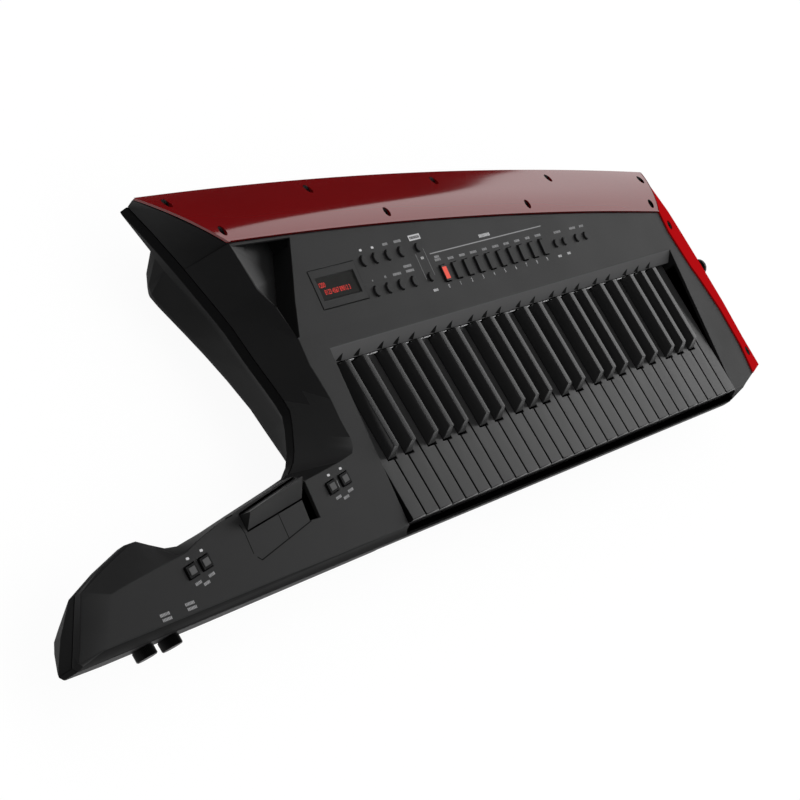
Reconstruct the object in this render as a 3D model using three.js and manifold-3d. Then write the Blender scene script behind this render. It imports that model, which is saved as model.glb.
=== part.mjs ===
// A shoulder keyboard: 49 hinged keys in a slim two-part case, with a wing at the low end,
// a neck for the left hand, a red blade along the back and a red strip down the right end.
// Millimetres, +X towards the high keys, +Y towards the blade, +Z up. Shapes are drawn from
// the front top corner of the lowest white key, and the whole is set on its base at the end.

import * as THREE from "three";
import { mergeVertices } from "three/addons/utils/BufferGeometryUtils.js";
import Module from "manifold-3d";

const wasm = await Module();
wasm.setup();

// Keyboard
const keyPitch = 23.5;
const octaveCount = 4;
const keyGap = 1.5;
const keyLength = 131;
const keyPlate = 2.5;
const keyWall = 1.5;
const keyBody = 14;
const keyLip = 2;
const keyLipDrop = 2.4;
const sharpLength = 81;
const sharpBase = 12.5;
const sharpTop = 8;
const sharpHeight = 9.2;
const sharpRamp = 6;
const sharpStepHeight = 3.4;
const sharpStepLength = 14;
const notchClearance = 1.2;
const pivotReach = 37;
const pivotDepth = 8;
const journalRadius = 3;
const tailOverhang = 3;
const tailRoot = 18;
const keyDip = 10;

// Case
const neckLength = 475;
const rightMargin = 86.5;
const tailRoom = 12;
const bladeReach = 109;
const panelSlope = 0.116;
const panelDrop = 3;
const partingDepth = 10;
const rimHeight = 7.7;
const neckRimHeight = 17;
const shoulderDepth = 30;
const neckDepth = 46;
const hullDepth = 60;
const baseDepth = 67.5;
const baseInset = 8;
const panelWall = 3;
const rimWall = 2;
const caseWall = 3.5;
const openingMargin = 2.5;
const railGap = 1;
const railRun = 10;
const railThickness = 3.5;
const railLift = 1.2;
const railLipHeight = 5.2;
const railNotchDepth = 5;
const scoopDepth = 18;
const ledgeThickness = 2.5;
const ledgeReach = 8;

// Blade and end strip
const plateThickness = 2.5;
const bladeProud = 1.2;
const bladeTipHeight = 8;
const bladeEndHeight = 12;
const bladeBulge = 2.2;
const stripFall = 1.8;
const screwHoleRadius = 4.6;

// Chassis under the keys
const chassisDepth = 32;
const chassisThickness = 2;
const chassisInset = 8;
const saddleWidth = 10;
const guideWidth = 8;
const guideThickness = 5;
const sharpGuideWidth = 4;
const chassisRibThickness = 3;
const guideClearance = 1;

// Controls
const capHeight = 1.8;
const capGap = 0.5;
const keypadThickness = 1.2;
const roundCapRadius = 4.4;
const linkedCapRadius = 3.7;
const smallCapRadius = 3.5;
const padWidth = 9.6;
const padLength = 13.6;
const neckCapWidth = 14.2;
const neckCapLength = 8.4;
const windowThickness = 1.6;
const windowProud = 0.3;
const windowLedge = 4;
const barHeight = 8;
const barDepth = 4;
const barClearance = 1;
const barBackStep = 0.8;
const barRodRadius = 2;
const barRodInset = 3.2;
const barRibWidth = 4;
const pitDepth = 9;
const knobRadius = 7.75;
const knobLength = 7.4;
const knobCentreDepth = 19;
const knobShaftRadius = 3;
const knobShaftLength = 12;
const strapRadius = 8;
const strapStemRadius = 3.8;
const strapLength = 12;
const strapPlate = 3.5;
const bossRadius = 5;

const gap = 0.3;
const overrun = 5;
const weld = 0.0005;

// Shares of the neck's length (x below zero) or of the right-hand reach, and of the depth.
// Each station of the upper case has its top edge, its rim and, where the side has a crease,
// the crease with its level as a share of the parting depth.
const frontStationShares = [
  [[-0.9263, -0.0051], [-0.9914, -0.0247], [-0.9842, -0.0195, 0.7]],
  [[-0.0253, -0.0051], [-0.0253, -0.0247], [-0.0253, -0.012, 0.7]],
  [[0.8932, -0.0051], [0.8854, -0.0247], [0.8932, -0.012, 0.7]],
  [[0.9401, 0.0103], [0.9401, -0.0017], [0.9401, 0.0041, 0.7]],
  [[0.999, 0.0479], [1.002, 0.0411], [1, 0.0445, 0.7]],
  [[0.987, 0.1541], [0.9905, 0.1541]],
  [[0.9765, 0.2877], [0.98, 0.2877]],
  [[0.9625, 0.411], [0.968, 0.411]],
  [[0.938, 0.6027], [0.943, 0.6062]],
];
const wingStationShares = [
  [[-0.1663, 0.8103], [-0.1979, 0.8103]],
  [[-0.1442, 0.6781], [-0.1705, 0.6884]],
  [[-0.1116, 0.6233], [-0.1589, 0.6301]],
  [[-0.0863, 0.5274], [-0.1495, 0.5377]],
  [[-0.0885, 0.4589], [-0.1379, 0.4555]],
  [[-0.08, 0.4144], [-0.1326, 0.411]],
  [[-0.0726, 0.363], [-0.1326, 0.3801]],
  [[-0.0716, 0.3048], [-0.1473, 0.3459]],
  [[-0.0652, 0.2551], [-0.1621, 0.3185]],
  [[-0.0674, 0.2329], [-0.181, 0.2842]],
  [[-0.08, 0.214], [-0.2042, 0.2534]],
];
const neckStationShares = [
  [[-0.1264, 0.2055], [-0.2358, 0.2295]],
  [[-0.2506, 0.1901], [-0.2695, 0.2226]],
  [[-0.2821, 0.2116], [-0.2948, 0.2171]],
  [[-0.4653, 0.1795], [-0.4653, 0.1849]],
  [[-0.5432, 0.1627], [-0.5432, 0.1695]],
  [[-0.6021, 0.1455], [-0.619, 0.1575]],
  [[-0.6421, 0.1301], [-0.6526, 0.1644], [-0.6505, 0.1575, 0.85]],
  [[-0.6694, 0.125], [-0.68, 0.1815], [-0.6779, 0.1747, 0.85]],
  [[-0.6989, 0.1216], [-0.7095, 0.2021], [-0.7095, 0.1952, 0.85]],
  [[-0.7263, 0.1182], [-0.7368, 0.2021], [-0.7368, 0.1952, 0.85]],
  [[-0.8, 0.1096], [-0.8231, 0.1712], [-0.8211, 0.1644, 0.82]],
  [[-0.861, 0.101], [-0.9095, 0.1337], [-0.9082, 0.1312, 0.5]],
  [[-0.88, 0.0685], [-0.9532, 0.0645], [-0.9477, 0.0652, 0.52]],
  [[-0.9052, 0.024], [-0.9847, 0.0137], [-0.9775, 0.0144, 0.56]],
  [[-0.92, 0.0034], [-1.0006, -0.0121], [-0.993, -0.0105, 0.6]],
];

// Where the keys' tails end in the depth
const tailShare = 0.5856;

// The blade's front and back edges are parabolas: start, control and end.
const bladeFrontShares = [[-0.1663, 0.8127], [0.4014, 0.7637], [0.9056, 0.6099]];
const bladeBackShares = [[-0.2884, 0.9983], [0.3815, 0.951], [0.9414, 0.7603]];
const wingTipRimShares = [[-0.2541, 1.0041], [-0.2295, 0.9281], [-0.2105, 0.8596]];
const bladeSpanShares = [0, 0.1, 0.2, 0.3, 0.4, 0.5, 0.6, 0.7, 0.8, 0.9, 1];
const bladeRowShares = [0, 0.25, 0.5, 0.75, 1];
const bladeScrewShares = [
  [0.02, 0.2], [0.343, 0.2], [0.67, 0.2], [0.985, 0.22],
  [0.022, 0.78], [0.27, 0.78], [0.52, 0.78], [0.765, 0.78], [0.985, 0.76],
];
const scoopCrestShares = [[-0.1631, 0.8014], [-0.14, 0.6815], [-0.1084, 0.6216], [-0.0884, 0.5342]];
const scoopWallShares = [[0.0143, 0.7894], [-0.0063, 0.7192], [-0.0453, 0.6301], [-0.0821, 0.5342]];
const stripInnerShares = [
  [0.9674, 0.0274], [0.9674, 0.1267], [0.9557, 0.2534], [0.9375, 0.363],
  [0.9271, 0.4144], [0.9089, 0.5411], [0.9069, 0.6096], [0.9409, 0.7582],
];
const stripOuterShares = [
  [1, 0.0462], [0.9888, 0.1507], [0.979, 0.274], [0.969, 0.363],
  [0.9635, 0.411], [0.9475, 0.5411], [0.9388, 0.6062], [0.9422, 0.7603],
];
const stripScrewShares = [[0.981, 0.1], [0.921, 0.56]];

// Each station of the lower hull: at the rim, at the shoulder and at the bottom edge.
const hullStationShares = [
  [[-0.1264, -0.0247], [-0.1053, -0.0154], [-0.0421, 0.0411]],
  [[0.8854, -0.0247], [0.8854, -0.0154], [0.875, 0.0411]],
  [[0.9401, -0.0017], [0.9271, 0.0137], [0.9036, 0.0548]],
  [[1.002, 0.0411], [0.9701, 0.0753], [0.9479, 0.1027]],
  [[0.98, 0.2877], [0.9427, 0.3014], [0.9219, 0.3151]],
  [[0.968, 0.411], [0.9297, 0.411], [0.9089, 0.4041]],
  [[0.943, 0.6062], [0.9076, 0.589], [0.888, 0.5651]],
  [[0.9401, 0.7603], [0.9076, 0.6747], [0.8854, 0.637]],
];
const hullBackShoulderShares = [[-0.2063, 0.8801], [0.4014, 0.8308], [0.9076, 0.6747]];
const hullBackBottomShares = [[-0.12, 0.885], [0.4014, 0.7913], [0.8854, 0.637]];
const hullWingShares = [
  [[-0.2541, 1.0041], [-0.1857, 0.9041], [-0.12, 0.885]],
  [[-0.2295, 0.9281], [-0.1859, 0.8801], [-0.134, 0.85]],
  [[-0.2105, 0.8596], [-0.1795, 0.8425], [-0.1386, 0.8251]],
  [[-0.1979, 0.8103], [-0.1667, 0.7877], [-0.129, 0.785]],
  [[-0.1705, 0.6884], [-0.1401, 0.6918], [-0.0984, 0.6918]],
  [[-0.1589, 0.6301], [-0.1275, 0.6233], [-0.0781, 0.6267]],
  [[-0.1495, 0.5377], [-0.1138, 0.5342], [-0.057, 0.5479]],
  [[-0.1379, 0.4555], [-0.1012, 0.4521], [-0.038, 0.4589]],
  [[-0.1326, 0.411], [-0.0947, 0.3869], [-0.0315, 0.3862]],
  [[-0.1326, 0.3801], [-0.0927, 0.3599], [-0.0274, 0.3462]],
  [[-0.1473, 0.3459], [-0.0927, 0.3322], [-0.0241, 0.3214]],
  [[-0.1621, 0.3185], [-0.0969, 0.3082], [-0.0231, 0.3014]],
  [[-0.181, 0.2842], [-0.1072, 0.2792], [-0.0334, 0.2844]],
  [[-0.2042, 0.2534], [-0.1264, 0.2466], [-0.0484, 0.2671]],
];
// Each station of the neck's lower half: at the rim with the rim's height as a share of its
// greatest height, and at the bottom.
const neckHullShares = [
  [[-0.9914, -0.0247, 0.7], [-0.9052, 0.0274]],
  [[-0.8843, -0.0247, 1], [-0.8421, 0.0274]],
  [[-0.6316, -0.0247, 1], [-0.6106, 0.0274]],
  [[-0.0842, -0.0247, 0.6], [-0.0632, 0.0274]],
  [[-0.0842, 0.226, 0.45], [-0.0632, 0.1712]],
  [[-0.2042, 0.2534, 0.45], [-0.1684, 0.1507]],
  [[-0.2358, 0.2295, 0.45], [-0.2316, 0.1438]],
  [[-0.2948, 0.2171, 0.45], [-0.3158, 0.137]],
  [[-0.4653, 0.1849, 0.45], [-0.4653, 0.1233]],
  [[-0.5432, 0.1695, 0.45], [-0.5432, 0.1164]],
  [[-0.619, 0.1575, 0.45], [-0.6106, 0.1096]],
  [[-0.6526, 0.1644, 0.45], [-0.6526, 0.1096]],
  [[-0.68, 0.1815, 0.45], [-0.6779, 0.113]],
  [[-0.7095, 0.2021, 0.45], [-0.7073, 0.1199]],
  [[-0.7368, 0.2021, 0.45], [-0.7368, 0.1199]],
  [[-0.8231, 0.1712, 0.45], [-0.8105, 0.1096]],
  [[-0.9095, 0.1337, 0.3], [-0.8737, 0.0959]],
  [[-0.9532, 0.0645, 0.65], [-0.8947, 0.0753]],
  [[-0.9847, 0.0137, 0.7], [-0.9094, 0.0479]],
  [[-1.0006, -0.0121, 0.7], [-0.9116, 0.0342]],
];
const bodyCavityShares = [
  [-0.0548, 0.0274], [0.9115, 0.0342], [0.9766, 0.0753], [0.9609, 0.274], [0.9479, 0.3973],
  [0.9193, 0.5548], [0.8984, 0.5753], [0.651, 0.6849], [0.3906, 0.75], [0.1302, 0.7842],
  [0.0313, 0.7911], [0.0247, 0.7603], [0.0078, 0.6849], [-0.0253, 0.5959], [-0.059, 0.4863],
];
const neckCavityShares = [
  [-0.9094, 0.0171], [-0.0421, 0.0171], [-0.0421, 0.195], [-0.1264, 0.193], [-0.2506, 0.177],
  [-0.3074, 0.1575], [-0.4653, 0.1404], [-0.5979, 0.1233], [-0.6947, 0.1027], [-0.8506, 0.0822],
];
const windowShares = [[0.0182, 0.5856], [0.1172, 0.6918]];
const roundCapXShares = [0.138, 0.1656, 0.1944, 0.2246];
const capRowShares = [0.6842, 0.5969];
const linkedCapXShare = 0.2638;
const padStartShare = 0.2995;
const padPitchShare = 0.02852;
const padCount = 10;
const smallCapXShares = [0.5905, 0.6148, 0.6503, 0.6755];
const keypadSheetShares = [
  [0.126, 0.572], [0.691, 0.572], [0.691, 0.625], [0.276, 0.625], [0.276, 0.707], [0.126, 0.707],
];
const neckCapShares = [[-0.1836, 0.1534], [-0.1368, 0.1613], [-0.6518, 0.0849], [-0.6092, 0.0921]];
const neckSheetShares = [
  [-0.6781, 0.04], [-0.1181, 0.04], [-0.1151, 0.18], [-0.2055, 0.172], [-0.2075, 0.085], [-0.3082, 0.082],
  [-0.5753, 0.075], [-0.5805, 0.112], [-0.6781, 0.105],
];
const neckCapTurn = 0.11;
const barFoldShares = [[-0.4653, 0.1267], [-0.2821, 0.1534]];
const barRidgeShares = [[-0.4653, 0.164], [-0.2789, 0.2017]];
const pitShares = [[-0.2869, 0.0959], [-0.2548, 0.0949], [-0.2537, 0.1873], [-0.2794, 0.204]];
const barRibShares = [0.1, 0.9];
const knobXShares = [-0.8, -0.7306];
const strapRowShare = 0.411;
const strapBackShare = -0.1284;
const strapBackRowShare = 0.858;
const strapHeightShare = 0.2;
const bossShares = [[0.078, 0.733], [0.3255, 0.7123], [0.586, 0.67], [0.781, 0.62]];
const chassisRibShares = [0.11, 0.34, 0.56];
const roundSides = 16;
const journalSides = 10;
const arcSteps = 8;
const octaveShares = [0.1246, 0.304, 0.5471, 0.7143, 0.8815];
const naturalsPerOctave = 7;
const naturalsWithSharp = [0, 1, 3, 4, 5];

// Worked out from the sizes above
const naturalCount = naturalsPerOctave * octaveCount + 1;
const octaveWidth = naturalsPerOctave * keyPitch;
const keyboardLength = naturalCount * keyPitch;
const rightReach = keyboardLength + rightMargin;
const sharpFront = keyLength - sharpLength;
const pivotY = keyLength + pivotReach;
const tailEnd = pivotY + tailOverhang;
const bodyDepth = tailEnd + tailRoom + bladeReach;
const panelBack = keyLength + railGap + railRun;
const openingLeft = -openingMargin;
const openingRight = keyboardLength + openingMargin;
const lowerTop = -partingDepth - gap;

const panelHeight = (y) => panelSlope * y - panelDrop;
const mix = (a, b, t) => a + (b - a) * t;
// The keys' tails divide the depth, so a deeper blade leaves what lies in front of it where it is.
const depthAt = (share) => (share < tailShare
  ? (share / tailShare) * tailEnd
  : mix(tailEnd, bodyDepth, (share - tailShare) / (1 - tailShare)));
const place = ([x, y]) => [x * (x < 0 ? neckLength : rightReach), depthAt(y)];

// Turns a closed geometry into a solid that can be joined and cut.
function solidFrom(geometry) {
  const bare = geometry.clone();
  bare.deleteAttribute("normal");
  bare.deleteAttribute("uv");
  const merged = mergeVertices(bare, weld);
  return new wasm.Manifold(
    new wasm.Mesh({
      numProp: 3,
      vertProperties: merged.attributes.position.array,
      triVerts: new Uint32Array(merged.index.array),
    }),
  );
}

function geometryFrom(solid) {
  const mesh = solid.getMesh();
  const geometry = new THREE.BufferGeometry();
  geometry.setAttribute("position", new THREE.BufferAttribute(mesh.vertProperties, 3));
  geometry.setIndex(new THREE.BufferAttribute(mesh.triVerts, 1));
  const flat = geometry.toNonIndexed();
  flat.computeVertexNormals();
  return flat;
}

function block(x0, x1, y0, y1, z0, z1) {
  const box = new THREE.BoxGeometry(x1 - x0, y1 - y0, z1 - z0);
  box.translate((x0 + x1) / 2, (y0 + y1) / 2, (z0 + z1) / 2);
  return solidFrom(box);
}

function extrude(points, depth) {
  const shape = new THREE.Shape(points.map(([a, b]) => new THREE.Vector2(a, b)));
  return new THREE.ExtrudeGeometry(shape, { depth, bevelEnabled: false });
}

// A prism with its outline in X and Y.
function prismZ(points, z0, z1) {
  const geometry = extrude(points, z1 - z0);
  geometry.translate(0, 0, z0);
  return solidFrom(geometry);
}

// A prism with its profile in Y and Z.
function prismX(points, x0, x1) {
  const geometry = extrude(points, x1 - x0);
  const turn = new THREE.Matrix4().makeBasis(
    new THREE.Vector3(0, 1, 0),
    new THREE.Vector3(0, 0, 1),
    new THREE.Vector3(1, 0, 0),
  );
  geometry.applyMatrix4(turn);
  geometry.translate(x0, 0, 0);
  return solidFrom(geometry);
}

// A prism over the control panel: levels are above or below the panel's slope.
function prismOnPanel(points, low, high) {
  const geometry = extrude(points, high - low);
  const position = geometry.getAttribute("position");
  for (let i = 0; i < position.count; i += 1) {
    position.setZ(i, position.getZ(i) + low + panelHeight(position.getY(i)));
  }
  return solidFrom(geometry);
}

function roundRodZ(radius, x, y, z0, z1) {
  const rod = new THREE.CylinderGeometry(radius, radius, z1 - z0, roundSides);
  rod.rotateX(Math.PI / 2);
  rod.translate(x, y, (z0 + z1) / 2);
  return solidFrom(rod);
}

function roundRodX(radius, x0, x1, y, z, sides = roundSides) {
  const rod = new THREE.CylinderGeometry(radius, radius, x1 - x0, sides);
  rod.rotateZ(Math.PI / 2);
  rod.translate((x0 + x1) / 2, y, z);
  return solidFrom(rod);
}

function roundRodY(radius, x, y0, y1, z) {
  const rod = new THREE.CylinderGeometry(radius, radius, y1 - y0, roundSides);
  rod.translate(x, (y0 + y1) / 2, z);
  return solidFrom(rod);
}

function circle(radius, x, y) {
  return Array.from({ length: roundSides }, (_, i) => {
    const angle = (2 * Math.PI * i) / roundSides;
    return [x + radius * Math.cos(angle), y + radius * Math.sin(angle)];
  });
}

function rectangle(width, length, x, y, turn = 0) {
  const corners = [[-1.0274, -1], [1, -1], [1, 1], [-1.0274, 1]];
  return corners.map(([a, b]) => {
    const u = (a * width) / 2;
    const v = (b * length) / 2;
    return [x + u * Math.cos(turn) - v * Math.sin(turn), y + u * Math.sin(turn) + v * Math.cos(turn)];
  });
}

// Builds a closed mesh from corners and faces given by their numbers.
function solidOfFaces(corners, faces) {
  const geometry = new THREE.BufferGeometry();
  geometry.setAttribute("position", new THREE.Float32BufferAttribute(corners.flat(), 3));
  geometry.setIndex(faces.flat());
  return solidFrom(geometry);
}

// Cuts a counter-clockwise ring into triangles, ear by ear, so that every corner is used.
function capTriangles(ring) {
  const turn = (a, b, c) => (
    (ring[b][0] - ring[a][0]) * (ring[c][1] - ring[a][1])
    - (ring[b][1] - ring[a][1]) * (ring[c][0] - ring[a][0]));
  const left = ring.map((_, i) => i);
  const triangles = [];
  while (left.length > 3) {
    const size = left.length;
    const ear = left.findIndex((b, i) => {
      const a = left[(i + size - 1) % size];
      const c = left[(i + 1) % size];
      const covers = (p) => p !== a && p !== b && p !== c
        && turn(a, b, p) >= 0 && turn(b, c, p) >= 0 && turn(c, a, p) >= 0;
      return turn(a, b, c) > weld && !left.some(covers);
    });
    triangles.push([left[(ear + size - 1) % size], left[ear], left[(ear + 1) % size]]);
    left.splice(ear, 1);
  }
  triangles.push(left);
  return triangles;
}

// Skins rings of equal count, lowest first and counter-clockwise from above, and caps them.
function loft(rings) {
  const count = rings[0].length;
  const faces = [];
  for (let level = 0; level < rings.length - 1; level += 1) {
    for (let i = 0; i < count; i += 1) {
      const a = level * count + i;
      const b = level * count + ((i + 1) % count);
      faces.push([a, b, b + count], [a, b + count, a + count]);
    }
  }
  const last = (rings.length - 1) * count;
  capTriangles(rings[0]).forEach(([a, b, c]) => faces.push([a, c, b]));
  capTriangles(rings.at(-1)).forEach(([a, b, c]) => faces.push([last + a, last + b, last + c]));
  return solidOfFaces(rings.flat(), faces);
}

// A slab between two grids of points: rows run to the right, columns to the back.
function slab(top, bottom) {
  const rows = top.length;
  const columns = top[0].length;
  const at = (i, j) => i * columns + j;
  const under = (i, j) => rows * columns + at(i, j);
  const faces = [];
  const quad = (a, b, c, d) => faces.push([a, b, c], [a, c, d]);
  for (let i = 0; i < rows - 1; i += 1) {
    for (let j = 0; j < columns - 1; j += 1) {
      quad(at(i, j), at(i + 1, j), at(i + 1, j + 1), at(i, j + 1));
      quad(under(i, j), under(i, j + 1), under(i + 1, j + 1), under(i + 1, j));
    }
    quad(under(i, 0), under(i + 1, 0), at(i + 1, 0), at(i, 0));
    quad(at(i, columns - 1), at(i + 1, columns - 1), under(i + 1, columns - 1), under(i, columns - 1));
  }
  for (let j = 0; j < columns - 1; j += 1) {
    quad(under(0, j + 1), under(0, j), at(0, j), at(0, j + 1));
    quad(under(rows - 1, j), under(rows - 1, j + 1), at(rows - 1, j + 1), at(rows - 1, j));
  }
  return solidOfFaces([...top.flat(), ...bottom.flat()], faces);
}

// Moves each side of a counter-clockwise outline inwards.
function inset(outline, distance) {
  const count = outline.length;
  const sides = outline.map(([x, y], i) => {
    const [nx, ny] = outline[(i + 1) % count];
    const length = Math.hypot(nx - x, ny - y);
    const ux = (nx - x) / length;
    const uy = (ny - y) / length;
    return { x: x - uy * distance, y: y + ux * distance, ux, uy };
  });
  return sides.map((side, i) => {
    const before = sides[(i + count - 1) % count];
    const cross = before.ux * side.uy - before.uy * side.ux;
    const reach = Math.abs(cross) < weld ? 0 : ((side.x - before.x) * side.uy
      - (side.y - before.y) * side.ux) / cross;
    return Math.abs(cross) < weld
      ? [side.x, side.y]
      : [before.x + before.ux * reach, before.y + before.uy * reach];
  });
}

const atLevel = (outline, z) => outline.map(([x, y]) => [x, y, z]);
const onSlope = (outline, lift) => outline.map(([x, y]) => [x, y, panelHeight(y) + lift]);
const join = (solids) => solids.reduce((all, solid) => all.add(solid));

// A parabola through a start and an end, given with its control point.
function parabola(shares) {
  const [start, control, end] = shares.map((share) => new THREE.Vector2(...place(share)));
  return new THREE.QuadraticBezierCurve(start, control, end);
}

const bladeFront = parabola(bladeFrontShares);
const bladeBack = parabola(bladeBackShares);

// The blade's upper face: along runs left to right, across runs front to back.
function bladePoint(along, across, lift = 0) {
  const front = bladeFront.getPoint(along);
  const back = bladeBack.getPoint(along);
  const frontZ = panelHeight(front.y) + bladeProud;
  const backZ = mix(bladeTipHeight, bladeEndHeight, along);
  const bulge = bladeBulge * 4 * across * (1 - across);
  return [
    mix(front.x, back.x, across),
    mix(front.y, back.y, across),
    mix(frontZ, backZ, across) + bulge + lift,
  ];
}

// Sharps

const sharpCentres = [];
for (let octave = 0; octave < octaveCount; octave += 1) {
  octaveShares.forEach((share) => sharpCentres.push((octave + share) * octaveWidth));
}

function journal(x0, x1) {
  const root = tailEnd - tailRoot;
  return block(x0, x1, root, tailEnd, -pivotDepth, -keyPlate / 2)
    .add(roundRodX(journalRadius, x0, x1, pivotY, -pivotDepth, journalSides));
}

function sharpKey(centre) {
  const half = sharpBase / 2;
  const halfTop = sharpTop / 2;
  const back = keyLength;
  const stepEnd = keyLength + sharpStepLength;
  const section = (width, y0, y1, z) => [
    [centre - width, y0, z],
    [centre + width, y0, z],
    [centre + width, y1, z],
    [centre - width, y1, z],
  ];
  const crown = loft([
    section(half - keyWall / 2, sharpFront + keyWall / 2, back, -keyBody + keyPlate),
    section(half, sharpFront, back, 0),
    section(halfTop, sharpFront + sharpRamp, back, sharpHeight),
  ]);
  const step = block(
    centre - halfTop, centre + halfTop, back - overrun, stepEnd, -pivotDepth, sharpStepHeight,
  );
  const tail = block(centre - halfTop, centre + halfTop, stepEnd - overrun, tailEnd, -pivotDepth, 0);
  const pocket = block(
    centre - halfTop + keyWall, centre + halfTop - keyWall,
    sharpFront + sharpRamp + keyWall, keyLength - tailRoot, -keyBody - overrun, keyPlate,
  );
  return join([crown, step, tail, journal(centre - halfTop, centre + halfTop)]).subtract(pocket);
}

// Naturals

const cutAway = sharpBase / 2 + notchClearance;

function naturalSpan(index) {
  const left = index * keyPitch + keyGap / 2;
  const right = (index + 1) * keyPitch - keyGap / 2;
  const tailLeft = Math.max(left, ...sharpCentres.filter((c) => c < left + keyPitch / 2)
    .map((c) => c + cutAway));
  const tailRight = Math.min(right, ...sharpCentres.filter((c) => c > right - keyPitch / 2)
    .map((c) => c - cutAway));
  return { left, right, tailLeft, tailRight };
}

function naturalKey(index) {
  const { left, right, tailLeft, tailRight } = naturalSpan(index);
  const shoulder = sharpFront - notchClearance;
  const outline = [
    [left, 0], [right, 0], [right, shoulder], [tailRight, shoulder],
    [tailRight, tailEnd], [tailLeft, tailEnd], [tailLeft, shoulder], [left, shoulder],
  ].filter(([x, y], i, all) => {
    const [px, py] = all[(i + all.length - 1) % all.length];
    return Math.hypot(x - px, y - py) > weld;
  });
  const root = tailEnd - tailRoot;
  const body = prismZ(outline, -keyBody, 0)
    .subtract(block(
      left + keyWall, right - keyWall, keyLip, shoulder - keyWall, -keyBody - overrun, -keyPlate,
    ))
    .subtract(block(
      tailLeft + keyWall, tailRight - keyWall, shoulder - keyWall * 2, root, -keyBody - overrun, -keyPlate,
    ))
    .subtract(block(
      left - overrun, right + overrun, root, tailEnd + overrun, -keyBody - overrun, -pivotDepth,
    ));
  const lip = block(left, right, 0, keyLip, -keyBody - keyLipDrop, 0);
  return join([body, lip, journal(tailLeft, tailRight)]);
}

// Chassis: a tray with a guide under each key and the saddle that the keys hinge on.

function keyChassis() {
  const x0 = chassisThickness;
  const x1 = keyboardLength - chassisThickness;
  const top = -chassisDepth;
  const guideTop = -keyPlate - keyDip - guideClearance;
  const back = pivotY + saddleWidth / 2;
  const tray = block(x0, x1, chassisInset, back, top - chassisThickness, top);
  const seat = journalRadius + gap;
  const arc = Array.from({ length: arcSteps + 1 }, (_, i) => {
    const angle = Math.PI * (1 + i / arcSteps);
    return [pivotY + seat * Math.cos(angle), -pivotDepth - gap + seat * Math.sin(angle)];
  });
  const saddleTop = -pivotDepth - gap;
  const saddle = prismX([
    [pivotY - saddleWidth / 2, top - chassisThickness / 2],
    [back, top - chassisThickness / 2],
    [back, saddleTop - journalRadius / 2],
    [pivotY + seat, saddleTop - journalRadius / 2],
    ...arc.slice(1, -1).reverse().filter(([, z]) => z < saddleTop - journalRadius / 2),
    [pivotY - seat, saddleTop - journalRadius / 2],
    [pivotY - saddleWidth / 2, saddleTop - journalRadius / 2],
  ], x0, x1);
  const guides = [];
  for (let i = 0; i < naturalCount; i += 1) {
    const middle = (i + 0.5) * keyPitch;
    guides.push(block(
      middle - guideWidth / 2, middle + guideWidth / 2,
      chassisInset + keyLip, chassisInset + keyLip + guideThickness, top - chassisThickness / 2, guideTop,
    ));
  }
  sharpCentres.forEach((centre) => {
    const front = sharpFront + sharpRamp + keyWall * 3;
    guides.push(block(
      centre - sharpGuideWidth / 2, centre + sharpGuideWidth / 2,
      front, front + guideThickness, top - chassisThickness / 2, guideTop,
    ));
  });
  return join([tray, saddle, ...guides]);
}

// Upper case

const topStations = [...frontStationShares, ...wingStationShares, ...neckStationShares];

function stationLevels([topShare, rimShare, creaseShare]) {
  const top = place(topShare);
  const rim = place(rimShare);
  const topPoint = [...top, panelHeight(top[1])];
  const rimPoint = [...rim, -partingDepth];
  const crease = creaseShare
    ? [...place(creaseShare), -partingDepth * creaseShare[2]]
    : topPoint.map((value, i) => (value + rimPoint[i]) / 2);
  return { top: topPoint, crease, rim: rimPoint };
}

// The panel's back edge runs along the blade's front edge, with a gap to the blade.
function bladeLine(setback, z) {
  return bladeSpanShares.slice(1).reverse().map((share) => {
    const point = bladeFront.getPoint(share);
    const y = point.y - setback;
    return [point.x, y, z === undefined ? panelHeight(y) : z];
  });
}

function panelBody() {
  const levels = topStations.map(stationLevels);
  const split = frontStationShares.length;
  const ring = (name, line) => [
    ...levels.slice(0, split).map((level) => level[name]),
    ...line,
    ...levels.slice(split).map((level) => level[name]),
  ];
  const topLine = bladeLine(gap * 2);
  const rimLine = bladeLine(gap * 2, -partingDepth);
  const creaseLine = topLine.map(([x, y, z]) => [x, y, (z - partingDepth) / 2]);
  return loft([ring("rim", rimLine), ring("crease", creaseLine), ring("top", topLine)]);
}

function bladeBase() {
  const seatLift = -plateThickness - gap;
  const tip = wingTipRimShares.map(place);
  const crestRim = place(wingStationShares[0][1]);
  const leftRim = [crestRim, tip[2], tip[1], tip[0]];
  const rightTop = place(stripOuterShares.at(-2));
  const rightBack = place(stripOuterShares.at(-1));
  const spans = [...bladeSpanShares, undefined];
  const rowShares = [0, 1 / 3, 2 / 3, 1];
  const top = [];
  const bottom = [];
  spans.forEach((along) => {
    const row = rowShares.map((across) => {
      if (along !== undefined) {
        return bladePoint(along, across, seatLift);
      }
      const z = bladePoint(1, across, seatLift)[2];
      return [mix(rightTop[0], rightBack[0], across), mix(rightTop[1], rightBack[1], across), z];
    });
    const tuckedY = row[0][1] - overrun;
    row.unshift([row[0][0], tuckedY, panelHeight(tuckedY) - panelWall]);
    top.push(row);
    const feet = row.map(([x, y]) => [x, y, -partingDepth]);
    if (along === 0) {
      leftRim.forEach(([x, y], i) => {
        feet[i + 1] = [x, y, -partingDepth];
      });
      feet[0] = [row[0][0], row[0][1] - overrun, -partingDepth];
    }
    bottom.push(feet);
  });
  return slab(top, bottom);
}

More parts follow.
